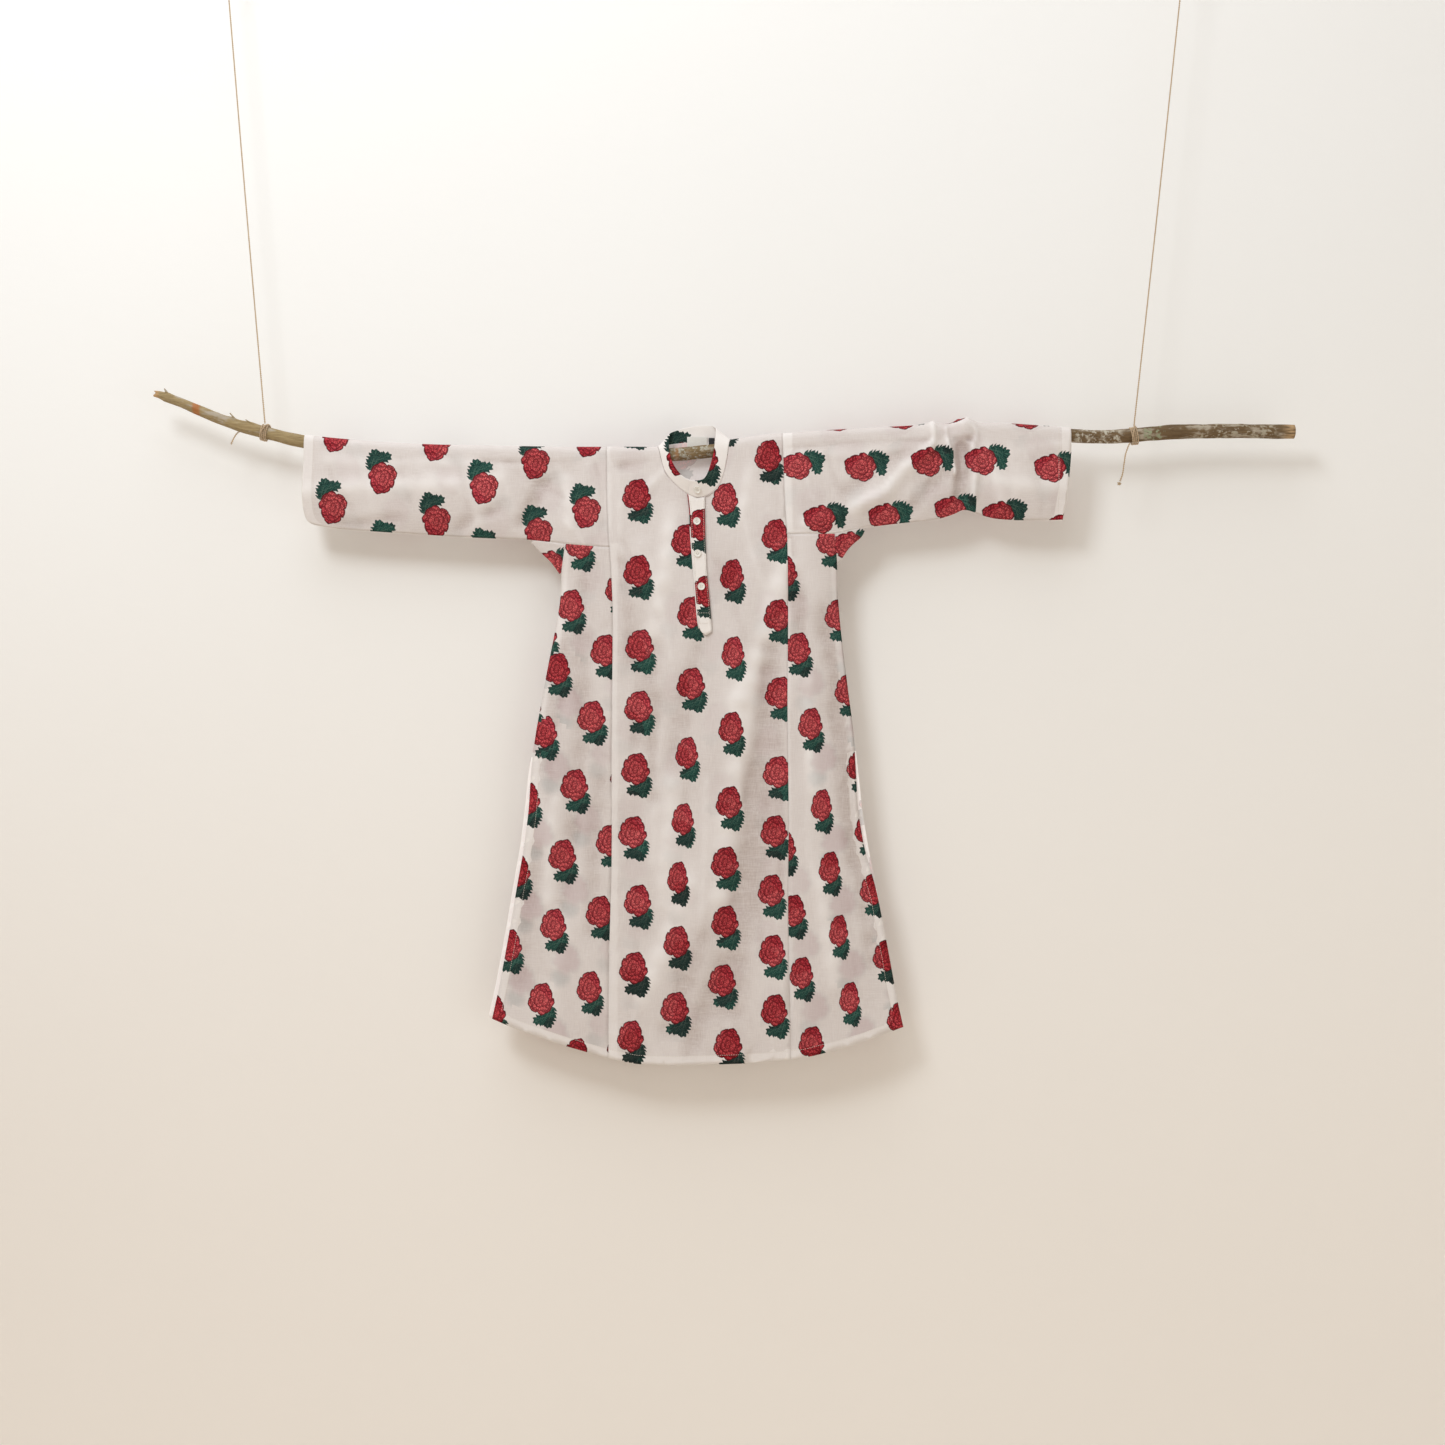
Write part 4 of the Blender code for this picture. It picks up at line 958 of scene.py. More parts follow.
FOLDS_BACK = tuple(
    (1400 - x0, y0 + 10, 1400 - x1, y1 + 18, width * 1.1, -0.8 * height)
    for x0, y0, x1, y1, width, height in FOLDS_FRONT if y0 > 540
) + (
    (330, 470, 470, 476, 10.0, 1.3),
    (420, 500, 350, 520, 11.0, -1.5),
    (560, 470, 520, 520, 10.0, 1.8),
    (620, 456, 660, 470, 9.0, -1.2),
    (640, 470, 760, 476, 12.0, 1.2),
    (800, 460, 900, 464, 8.0, -1.4),
    (930, 440, 880, 510, 9.0, 2.4),
    (944, 440, 950, 500, 6.0, -2.6),
    (1000, 470, 1050, 476, 9.0, 1.2),
)
CREASES_BACK = tuple(
    (1400 - x0, y0 + 14, 1400 - x1, y1 + 22, width, -0.9 * height)
    for x0, y0, x1, y1, width, height in CREASES_FRONT
)
SEAM_PUCKERS = tuple((604, y, 618, y + 3, 3.2, 0.55 if index % 2 else -0.5)
                     for index, y in enumerate(range(600, 1036, 13)))
HEM_PUCKERS = tuple((x, y, x + 4, y + 8, 3.0, 0.45 if index % 2 else -0.4)
                    for index, (x, y) in enumerate(
                        (x, 1040 + 12 * math.sin((x - 500) / 400 * math.pi))
                        for x in range(512, 890, 11)))


print("folds", len(FOLDS_FRONT) + len(FOLDS_BACK), "creases", len(CREASES_FRONT + CREASES_BACK))

# %% From the rows to the relief of the cloth
FOLD_BEND = 2.2 * MM
FOLD_FADE = 3.0
FOLD_UNEVENNESS = 0.25


def soft_rows(rows, x, z):
    """Sum of soft ridges and troughs at each point, in metres."""
    total = np.zeros(len(x))
    for x0, y0, x1, y1, width, height in rows:
        (ax, az), (bx, bz) = in_metres(x0, y0), in_metres(x1, y1)
        run = np.array((bx - ax, bz - az))
        length = np.linalg.norm(run)
        along = ((x - ax) * run[0] + (z - az) * run[1]) / length
        bend = FOLD_BEND * np.sin(along / length * 5.0 + x0)
        across = ((x - ax) * run[1] - (z - az) * run[0]) / length + bend
        past = np.maximum(np.maximum(-along, along - length), 0) / (FOLD_FADE * width * MM)
        fade = np.clip(1 - past, 0, 1) ** 2
        uneven = 1 + FOLD_UNEVENNESS * np.sin(along * 160 + y0)
        total += height * MM * uneven * fade * np.exp(-(across / (width * MM)) ** 2)
    return total


def drift(x, z, seed):
    """Slow, uneven waves, as cloth has everywhere."""
    waves = 0.30 * np.sin(31 * x + 17 * z + seed) + 0.24 * np.sin(-23 * x + 41 * z + 2.1 * seed)
    waves += 0.18 * np.sin(67 * x + 23 * z + 1.3 * seed) + 0.10 * np.sin(97 * x - 71 * z + seed)
    return waves * MM


MIDDLE_GAP = 0.5 * MM
SIDE_BLEND = 12 * MM
FULL_HEIGHT_FROM = 6 * MM
NEAR_BRANCH = 16 * MM
ON_BRANCH_FROM = 8 * MM
TOP_BLEND = 4 * MM
LEAST_RISE = 0.05 * MM


def cloth_relief(points):
    """How far each point of the cloth moves out, and which way is out. No fold reaches the middle."""
    x, y, z = points.T
    front = soft_rows(FOLDS_FRONT + CREASES_FRONT + SEAM_PUCKERS + HEM_PUCKERS, x, z)
    front += drift(x, z, 0.4)
    back = soft_rows(FOLDS_BACK + CREASES_BACK + HEM_PUCKERS, x, z) + drift(x, z, 2.9)
    share = np.clip(0.5 + y / SIDE_BLEND, 0, 1)
    share = share * share * (3 - 2 * share)
    height = front * (1 - share) + back * share
    above = z - branch_z(x)
    near = np.clip((above + NEAR_BRANCH) / ON_BRANCH_FROM, 0, 1)
    height = height * (1 - near) + near * np.maximum(0.55 * height, LEAST_RISE)
    on_top = np.clip(above / TOP_BLEND, 0, 1)
    room = 0.8 * np.maximum(np.abs(y) - MIDDLE_GAP, 0.01 * MM)
    raised = height * np.clip(np.abs(y) / FULL_HEIGHT_FROM, 0, 1)
    pressed = np.where(height < 0, -room * np.tanh(-height / room), raised)
    height = on_top * height + (1 - on_top) * pressed
    out = np.stack([np.zeros(len(x)), np.sign(y), np.zeros(len(x))], axis=1)
    radial = np.stack([np.zeros(len(x)), y, above], axis=1)
    radial /= np.maximum(np.linalg.norm(radial, axis=1), 1e-6)[:, None]
    out = out * (1 - on_top)[:, None] + radial * on_top[:, None]
    return height, out


# %% Print maps on the unrolled cloth
CLOTH_OFF_BRANCH = 1.9 * MM


def nearest_rose(places, roses):
    """For each face, the number of the rose whose motif is nearest."""
    centres = np.array([(rose[0], rose[1] - LEAF_SIDE * MM) for rose in roses])
    gap = places[:, None, :] - centres[None, :, :]
    return (gap ** 2).sum(axis=2).argmin(axis=1)


def corners_of(mesh):
    """The point and the face that each face corner belongs to."""
    corner_points = np.empty(len(mesh.loops), np.int32)
    mesh.loops.foreach_get("vertex_index", corner_points)
    counts = np.empty(len(mesh.polygons), np.int32)
    mesh.polygons.foreach_get("loop_total", counts)
    return corner_points, np.repeat(np.arange(len(counts)), counts)


def face_middles(places, corner_points, face_of):
    """The mean place of each face's corners."""
    sums = np.zeros((face_of[-1] + 1, places.shape[1]))
    np.add.at(sums, face_of, places[corner_points])
    return sums / np.bincount(face_of)[:, None]


def turned(local, angle):
    """Places turned about the motif's middle, in rose widths."""
    cos, sin = np.cos(angle), np.sin(angle)
    return np.stack([local[:, 0] * cos + local[:, 1] * sin,
                     -local[:, 0] * sin + local[:, 1] * cos], axis=1) / ROSE_SIZE


def chart(points):
    """Place on the unrolled cloth: x, and the height measured along the cloth's bend."""
    x, y, z = points.T
    middle = branch_z(x)
    radius = branch_radius(x) + CLOTH_OFF_BRANCH
    above = np.clip((z - middle) / np.maximum(np.hypot(y, z - middle), 1e-6), 0, 1)
    height = np.where(z > middle, middle + radius * np.arcsin(above), z)
    over = 2 * middle + math.pi * radius - height
    return np.stack([x, np.where(y > 0, over, height)], axis=1)


def chart_of_far(x, z):
    """Where a rose of the back lies on the unrolled cloth."""
    radius = float(branch_radius(x)) + CLOTH_OFF_BRANCH
    return 2 * float(branch_z(x)) + math.pi * radius - z


def write_uv(mesh, name, values):
    layer = mesh.uv_layers.new(name=name)
    layer.data.foreach_set("uv", values.astype(np.float32).ravel())


def rose_map(mesh, points, near, far, turn):
    """Each face corner's place from the middle of its rose, in rose widths."""
    flat = chart(points)
    corner_points, face_of = corners_of(mesh)
    roses = [(x, z, width, 1.0) for x, z, width in near]
    roses += [(x, chart_of_far(x, z), width, -1.0) for x, z, width in far]
    number = nearest_rose(face_middles(flat, corner_points, face_of), roses)
    table = np.array(roses)[number[face_of]]
    place = turned((flat[corner_points] - table[:, :2]) * table[:, 3:4], math.radians(turn))
    place[:, 0] /= table[:, 2]
    tones = np.random.default_rng(11).random(len(roses))
    return place, tones[number]


print("a rose is", round(2 * ROSE_SIZE * 1000, 1), "mm wide")

# %% [markdown]
# A hem is folded twice and a seam's allowance once, so less of what is behind shows through
# them, and they look whiter than the single cloth. Each point of a shell keeps how far it lies
# from the free edge, and how much of an allowance lies behind it.

# %% Hems and turned-in seams
HEM_WIDTH = 14.0
SLIT_HEM_WIDTH = 12.0
NO_EDGE = 99.0
SLIT_TOP = -0.465

SEAM_BANDS = {
    # x of the seam, lowest and highest z, how far its allowance reaches in mm, and its strength
    "sleeve_right": ((0.1305, -0.140, 0.060, 13.0, 0.85),),
    "front_centre": ((-0.1368, -1.000, -0.144, 9.0, 0.55), (-0.1436, -0.144, 0.060, 5.0, 0.55)),
    "side_front_right": ((0.1375, -1.000, -0.135, 3.2, 0.8),),
    "back_centre": ((-0.1368, -1.000, 0.060, 9.0, 0.45),),
    "side_back_right": ((0.1375, -1.000, 0.060, 7.0, 0.55),),
}
YOKE_BAND = 5.0
YOKE_END = 0.21
SIDE_BAND = 10.0
BAND_SOFTNESS = 1.2
EDGE_STRIP = 6 * MM


def beyond(along, across):
    """How far the piece's edge lies beyond each of its points, in millimetres."""
    strips = np.round(along / EDGE_STRIP).astype(int)
    tips = []
    for strip in np.unique(strips):
        inside = np.flatnonzero(strips == strip)
        tips.append(inside[np.argmax(across[inside])])
    return (np.interp(along, along[tips], across[tips]) - across) / MM


def edge_distance(node, points):
    """Distance of each point from the free edges that are hemmed, in millimetres."""
    x, _, z = points.T
    distance = np.full(len(x), NO_EDGE)
    if node.startswith("sleeve"):
        distance = beyond(z, np.abs(x))
    elif "centre" in node or node.startswith("side"):
        distance = beyond(x, -z)
    if node.startswith("side"):
        beside = beyond(z, np.abs(x)) + np.where(z > SLIT_TOP, NO_EDGE, 0.0)
        distance = np.minimum(distance, beside * HEM_WIDTH / SLIT_HEM_WIDTH)
    return np.clip(distance, 0, NO_EDGE)


def allowance(node, points):
    """How strongly the turned-in edge of a seam whitens the cloth at each point, from 0 to 1."""
    x, _, z = points.T
    share = np.zeros(len(x))

    def whiten(room, strength, where):
        inside = np.clip(room / BAND_SOFTNESS + 0.5, 0, 1)
        np.maximum(share, strength * inside * where, out=share)

    for seam_x, z_low, z_high, reach, strength in SEAM_BANDS.get(node, ()):
        whiten(reach - np.abs(x - seam_x) / MM, strength, (z > z_low) & (z < z_high))
    if node.startswith("sleeve"):
        whiten(YOKE_BAND - (z - z.min()) / MM, 0.5, np.abs(x) < YOKE_END)
    if node.startswith("side"):
        whiten(SIDE_BAND - beyond(z, np.abs(x)), 0.6, z > SLIT_TOP)
    return share


def note_on(mesh, name, where, values):
    """Keeps one number for each point or face, for the cotton material to read."""
    layer = mesh.attributes.new(name, "FLOAT", where)
    layer.data.foreach_set("value", values.astype(np.float32))


def inner_faces(mesh):
    """1 for the faces that look inwards, at the wearer's side of the cloth."""
    normals = np.empty(len(mesh.polygons) * 3, np.float32)
    centres = np.empty(len(mesh.polygons) * 3, np.float32)
    mesh.polygons.foreach_get("normal", normals)
    mesh.polygons.foreach_get("center", centres)
    normals, centres = normals.reshape(-1, 3), centres.reshape(-1, 3)
    above = np.maximum(centres[:, 2] - branch_z(centres[:, 0]), 0)
    out = np.stack([np.zeros(len(centres)), centres[:, 1], above], axis=1)
    return ((normals * out).sum(axis=1) < 0).astype(float)


def halve_long_faces(obj, longest):
    """Halves the long way of each long face once, so that creases have points enough."""
    only(obj)
    bpy.ops.object.mode_set(mode="EDIT")
    bpy.ops.mesh.select_mode(type="EDGE")
    bpy.ops.mesh.select_all(action="DESELECT")
    mesh = bmesh.from_edit_mesh(obj.data)
    chosen = set()
    for face in mesh.faces:
        edges = face.edges[:]
        if len(edges) != 4:
            continue
        first = edges[0].calc_length() + edges[2].calc_length()
        second = edges[1].calc_length() + edges[3].calc_length()
        pair = (edges[0], edges[2]) if first > second else (edges[1], edges[3])
        if max(first, second) / 2 > longest and max(first, second) > 1.5 * min(first, second):
            chosen.update(edge.index for edge in pair)
    for edge in mesh.edges:
        edge.select_set(edge.index in chosen)
    bmesh.update_edit_mesh(obj.data)
    bpy.ops.mesh.subdivide(number_cuts=1)
    bpy.ops.object.mode_set(mode="OBJECT")


# %% Dress the panels
BACK_OF = {"back_centre": "front_centre", "side_back_left": "side_front_left",
           "side_back_right": "side_front_right"}
PANELS = ("front_centre", "back_centre", "side_front_left", "side_front_right",
          "side_back_left", "side_back_right", "sleeve_left", "sleeve_right", "gusset_left",
          "gusset_right")
SOLIDS_OF = {"back_centre": ("back_centre_upper", "back_centre_lower")}
BACK_CUT = (-0.17, -0.11)
FULL_FOLD = 5 * MM
LONGEST_FACE = 20 * MM


def where_back_meets(middle, way):
    """True for the end faces where the back panel's two solids meet."""
    return abs(way.z) > 0.85 and BACK_CUT[0] < middle.z < BACK_CUT[1]


def dress_panel(node):
    """A fine shell of one cut piece of cloth, creased and mapped for the print."""
    if node in SOLIDS_OF:
        shell = welded_copy(SOLIDS_OF[node], f"cloth_{node}", weld=0.45 * MM,
                            is_end=where_back_meets)
    else:
        shell = welded_copy((node,), f"cloth_{node}")
    halve_long_faces(shell, LONGEST_FACE)
    round_off(shell, 2)
    points = points_of(shell)
    front = BACK_OF.get(node, node)
    near, far = roses_of(front), far_roses_of(front)
    turn = ROSE_TURN.get(node, 0.0)
    local, tones = rose_map(shell.data, points, near, far, turn)
    write_uv(shell.data, "print", local)
    note_on(shell.data, "tone", "FACE", tones)
    mirrored = points * np.array((1.0, -1.0, 1.0))
    write_uv(shell.data, "far_print", rose_map(shell.data, mirrored, near, far, turn)[0])
    note_on(shell.data, "hem", "POINT", edge_distance(node, points))
    note_on(shell.data, "allowance", "POINT", allowance(node, points))
    note_on(shell.data, "inner", "FACE", inner_faces(shell.data))
    relief, out = cloth_relief(points)
    # The fold height is kept as well: the cotton material paints shade in the troughs and light on
    # the ridges from it.
    note_on(shell.data, "fold_shading", "POINT", (relief / FULL_FOLD).clip(-1, 1))
    move_points(shell, points + out * relief[:, None])
    return shell


shells = {node: dress_panel(node) for node in PANELS}
print({node: len(shell.data.polygons) for node, shell in shells.items()})

# %% [markdown]
# The solids stand a little apart at the seams. The shells are drawn together there, so that two
# panels look sewn, with a hairline between them.

# %% Close the seams
SEAM_REACH = 0.7 * MM
SEAM_SHARE = 0.485


def tree_of_all(objects):
    """One search tree of the faces of several objects."""
    points, faces = [], []
    for obj in objects:
        start = len(points)
        points += [vertex.co.copy() for vertex in obj.data.vertices]
        faces += [tuple(start + corner for corner in face.vertices) for face in obj.data.polygons]
    return BVHTree.FromPolygons(points, faces)


def close_seams():
    """Draws each edge towards the next panel, so that a sewn seam leaves a hairline only."""
    moves = {}
    for node, shell in shells.items():
        others = tree_of_all([other for name, other in shells.items() if name != node])
        places = points_of(shell)
        for index, place in enumerate(places):
            spot, _, _, gap = others.find_nearest(Vector(place), SEAM_REACH)
            if spot is not None:
                places[index] += SEAM_SHARE * (np.array(spot) - place)
        moves[node] = places
    for node, places in moves.items():
        move_points(shells[node], places)


close_seams()
print("seams closed on", len(shells), "panels")

# %% [markdown]
# ## The rose print
#
# The block print is one red rose, a little taller than wide, with a scalloped rim and darker
# lines between its petals, above one dark green leaf with a saw-toothed edge. It is drawn with
# plain arithmetic: the angle and distance from the middle give the rim and the petals, and the
# leaf is three lens shapes that overlap, each along its own line.


# %% Edges, scallops and lines
def edge_step(tree, inside, soft):
    """1 where inside is above 0."""
    return between(tree, inside, -soft, soft)


def scallops(tree, angle, count, phase, base, depth):
    """A rim whose distance from the middle goes in and out as scallops."""
    wave = maths(tree, "MULTIPLY_ADD", angle, count / 2, phase)
    wave = maths(tree, "ABSOLUTE", maths(tree, "SINE", wave))
    wave = maths(tree, "POWER", wave, 0.6)
    return maths(tree, "MULTIPLY_ADD", wave, depth, base)


def line_at(tree, distance, place, width):
    """1 on a line at a distance from the middle, 0 off it."""
    off = maths(tree, "ABSOLUTE", maths(tree, "SUBTRACT", distance, place))
    return between(tree, off, width, width * 0.35)


# %% Leaf
TEETH_ON_LEAF = 6.5
TOOTH_DEPTH = 0.21
TOOTH_FOOT = 0.09


def leaf_lobe(tree, u, v, foot, tip, width):
    """A leaf from foot to tip: its mask, and the masks of its middle vein and of its edge."""
    run = (tip[0] - foot[0], tip[1] - foot[1])
    length = math.hypot(*run)
    way = (run[0] / length, run[1] / length)
    du = maths(tree, "SUBTRACT", u, foot[0])
    dv = maths(tree, "SUBTRACT", v, foot[1])
    along = maths(tree, "ADD", product(tree, du, way[0] / length),
                  product(tree, dv, way[1] / length))
    off = maths(tree, "SUBTRACT", product(tree, du, way[1]), product(tree, dv, way[0]))
    off = maths(tree, "ABSOLUTE", off)
    bow = product(tree, along, maths(tree, "SUBTRACT", 1.0, along))
    ends = between(tree, bow, 0.0, 0.02)
    bow = maths(tree, "POWER", maths(tree, "MAXIMUM", bow, 0.0), 0.55)
    teeth = maths(tree, "FRACT", product(tree, along, TEETH_ON_LEAF))
    edge = maths(tree, "MULTIPLY_ADD", bow, width * 2.1, product(tree, teeth, TOOTH_DEPTH))
    inside = maths(tree, "SUBTRACT", maths(tree, "SUBTRACT", edge, TOOTH_FOOT), off)
    mask = product(tree, edge_step(tree, inside, 0.02), ends)
    vein = product(tree, between(tree, off, 0.035, 0.012), mask)
    rim = product(tree, between(tree, inside, 0.075, 0.03), mask)
    return mask, vein, rim


LEAVES = (
    # foot, tip and half width, in rose widths from the middle of the bloom
    ((0.84, -0.46), (0.40, -1.94), 0.42),
    ((1.00, -0.92), (-0.62, -1.58), 0.38),
    ((0.78, -0.58), (-0.04, -1.74), 0.50),
)
print("leaf of", len(LEAVES), "shapes with", TEETH_ON_LEAF, "teeth each")

# %% Bloom: its rim and the lines of its petals
PETAL_RINGS = (
    # number of scallops, their phase, distance from the middle, depth and line width
    (5, 0.9, 0.62, 0.20, 0.070),
    (3, 2.2, 0.34, 0.20, 0.070),
    (2, 0.3, 0.10, 0.14, 0.060),
)


def warped_place(group, place, amount):
    """The place, pushed about by noise, so that no line is drawn straight."""
    wobble = group.nodes.new("ShaderNodeTexNoise")
    wobble.inputs["Scale"].default_value = 4.2
    wobble.inputs["Detail"].default_value = 2.5
    group.links.new(place, wobble.inputs["Vector"])
    push = group.nodes.new("ShaderNodeVectorMath")
    push.operation = "MULTIPLY_ADD"
    push.inputs[1].default_value = (amount, amount, 0.0)
    push.inputs[2].default_value = (-amount / 2, -amount / 2, 0.0)
    group.links.new(wobble.outputs["Color"], push.inputs[0])
    added = group.nodes.new("ShaderNodeVectorMath")
    added.operation = "ADD"
    group.links.new(place, added.inputs[0])
    group.links.new(push.outputs[0], added.inputs[1])
    return added.outputs[0]


def bloom_rim(group, angle):
    """Nine uneven scallops: higher at the top right, with a notch at the top left."""
    rim = scallops(group, angle, 9, -0.74, 0.86, 0.12)
    for turns, phase, size in ((2, -2.6, 0.035), (3, 1.9, 0.045), (5, 0.7, 0.035)):
        wave = maths(group, "COSINE", maths(group, "MULTIPLY_ADD", angle, turns, phase))
        rim = maths(group, "MULTIPLY_ADD", wave, size, rim)
    return rim


def petal_lines(group, place, distance, angle, rim):
    """Dark lines of the petals: broken rings, small cells between them, and the outline."""
    cells = group.nodes.new("ShaderNodeTexVoronoi")
    cells.feature = "DISTANCE_TO_EDGE"
    cells.inputs["Scale"].default_value = 5.4
    cells.inputs["Randomness"].default_value = 1.0
    group.links.new(place, cells.inputs["Vector"])
    lines = product(group, between(group, cells.outputs["Distance"], 0.11, 0.03), 0.90)
    for count, phase, base, depth, width in PETAL_RINGS:
        ring = line_at(group, distance, scallops(group, angle, count, phase, base, depth), width)
        lines = maths(group, "MAXIMUM", lines, product(group, ring, 0.75))
    outline = line_at(group, distance, maths(group, "SUBTRACT", rim, 0.03), 0.075)
    return maths(group, "MAXIMUM", lines, outline)


# %% Rose node group
PETAL_COLOURS = {"dark": srgb(182, 55, 67), "light": srgb(232, 118, 118),
                 "deep": srgb(184, 32, 60), "line": srgb(90, 17, 31)}
LEAF_COLOURS = {"dark": srgb(14, 52, 48), "light": srgb(58, 98, 88), "vein": srgb(96, 132, 116),
                "edge": srgb(8, 34, 34)}
HAZE_COLOURS = {"leaf": srgb(84, 116, 122), "bloom": srgb(150, 92, 112)}
LEAF_MIDDLE = (0.42, -1.22)


def new_group(name, **outputs):
    """A shader node group that takes a place and gives the named outputs."""
    group = bpy.data.node_groups.new(name, "ShaderNodeTree")
    group.interface.new_socket("Place", in_out="INPUT", socket_type="NodeSocketVector")
    for output, kind in outputs.items():
        group.interface.new_socket(output.replace("_", " "), in_out="OUTPUT",
                                   socket_type=f"NodeSocket{kind}")
    taken = group.nodes.new("NodeGroupInput")
    return group, taken.outputs["Place"], group.nodes.new("NodeGroupOutput").inputs


def length_of(tree, u, v):
    squares = maths(tree, "ADD", product(tree, u, u), product(tree, v, v))
    return maths(tree, "SQRT", squares)


def rose_group():
    group, flat_place, given = new_group("rose print", Colour="Color", Mask="Float", Bloom="Float",
                                         Haze="Float", Haze_Colour="Color")
    place = warped_place(group, flat_place, 0.20)
    u, v, _ = axes_of(group, place)
    tall = product(group, v, 0.93)
    distance = length_of(group, u, tall)
    angle = maths(group, "ARCTAN2", tall, u)
    rim = bloom_rim(group, angle)
    bloom = edge_step(group, maths(group, "SUBTRACT", rim, distance), 0.018)
    lines = product(group, petal_lines(group, place, distance, angle, rim), 0.95)
    grain = noise(group, flat_place, 13.0, 4.0, 0.65)
    petal = blend_colours(group, between(group, grain, 0.36, 0.62), PETAL_COLOURS["dark"],
                          PETAL_COLOURS["light"])
    deep = product(group, between(group, maths(group, "ADD", u, v), 0.35, 0.75), 0.45)
    petal = blend_colours(group, deep, petal, PETAL_COLOURS["deep"])
    petal = blend_colours(group, lines, petal, PETAL_COLOURS["line"])
    parts = [leaf_lobe(group, u, v, *lobe) for lobe in LEAVES]
    leaf, vein, edging = parts[0]
    for mask, line, rim_line in parts[1:]:
        leaf = maths(group, "MAXIMUM", leaf, mask)
        vein = maths(group, "MAXIMUM", vein, line)
        edging = maths(group, "MAXIMUM", edging, rim_line)
    green = blend_colours(group, between(group, grain, 0.36, 0.64), LEAF_COLOURS["dark"],
                          LEAF_COLOURS["light"])
    green = blend_colours(group, product(group, vein, 0.35), green, LEAF_COLOURS["vein"])
    green = blend_colours(group, product(group, edging, 0.6), green, LEAF_COLOURS["edge"])
    group.links.new(blend_colours(group, bloom, green, petal), given["Colour"])
    group.links.new(maths(group, "MAXIMUM", bloom, leaf), given["Mask"])
    group.links.new(bloom, given["Bloom"])
    soft_bloom = between(group, maths(group, "SUBTRACT", distance, rim), 0.26, -0.30)
    off_leaf = length_of(group, maths(group, "SUBTRACT", u, LEAF_MIDDLE[0]),
                         maths(group, "SUBTRACT", v, LEAF_MIDDLE[1]))
    soft_leaf = between(group, off_leaf, 0.92, 0.30)
    group.links.new(maths(group, "MAXIMUM", soft_bloom, soft_leaf), given["Haze"])
    haze_colour = blend_colours(group, soft_bloom, HAZE_COLOURS["leaf"], HAZE_COLOURS["bloom"])
    group.links.new(haze_colour, given["Haze Colour"])
    return group


rose_print = rose_group()
print("rose group", len(rose_print.nodes), "nodes")


# %% Weave node group: slubs and the fine threads of hand-woven cotton
def weave_group():
    group, place, given = new_group("slub weave", Slub="Float", Threads="Float")
    warp = noise(group, stretched(group, place, (1300.0, 1300.0, 60.0)), 1.0, 3.0)
    weft = noise(group, stretched(group, place, (60.0, 60.0, 1300.0)), 1.0, 3.0)
    slub = product(group, maths(group, "ADD", warp, weft), 0.5)
    crumple = noise(group, place, 85.0, 4.0, 0.6)
    threads = maths(group, "MULTIPLY_ADD", crumple, 0.8, product(group, slub, 0.5))
    group.links.new(slub, given["Slub"])
    group.links.new(threads, given["Threads"])
    return group


slub_weave = weave_group()
print("weave group", len(slub_weave.nodes), "nodes")


# %% Cotton material
def placed_group(tree, group, vector):
    node = tree.nodes.new("ShaderNodeGroup")
    node.node_tree = group
    tree.links.new(vector, node.inputs["Place"])
    return node


def read_attribute(tree, name):
    node = tree.nodes.new("ShaderNodeAttribute")
    node.attribute_name = name
    return node.outputs["Fac"]


def uv_place(tree, name):
    node = tree.nodes.new("ShaderNodeUVMap")
    node.uv_map = name
    return node.outputs[0]


STAINS = {"own": srgb(196, 92, 112), "far print": srgb(214, 120, 146), "hem": srgb(226, 122, 150)}
# VOILE's folds and flat colours are one cloth shaded and lit: painted shade in the troughs of the
# folds, painted light on their ridges.
VOILE = {"folds": srgb(194, 181, 176), "flat": srgb(239, 234, 232), "slubs": srgb(238, 233, 231),
         "doubled": srgb(247, 243, 241), "edge": srgb(247, 242, 238)}
GHOSTS_ASIDE = (0.12, 0.20)
GHOSTS_LOW = (-0.20, -0.42)
# How strongly the inner faces glow: painted light.
INNER_PAINTED_LIGHT = 0.22


def doubled(tree, share, colour, stain):
    """The print made deeper by a stain, as where the cloth lies double."""
    return blend_colours(tree, share, colour, stain, "MULTIPLY")


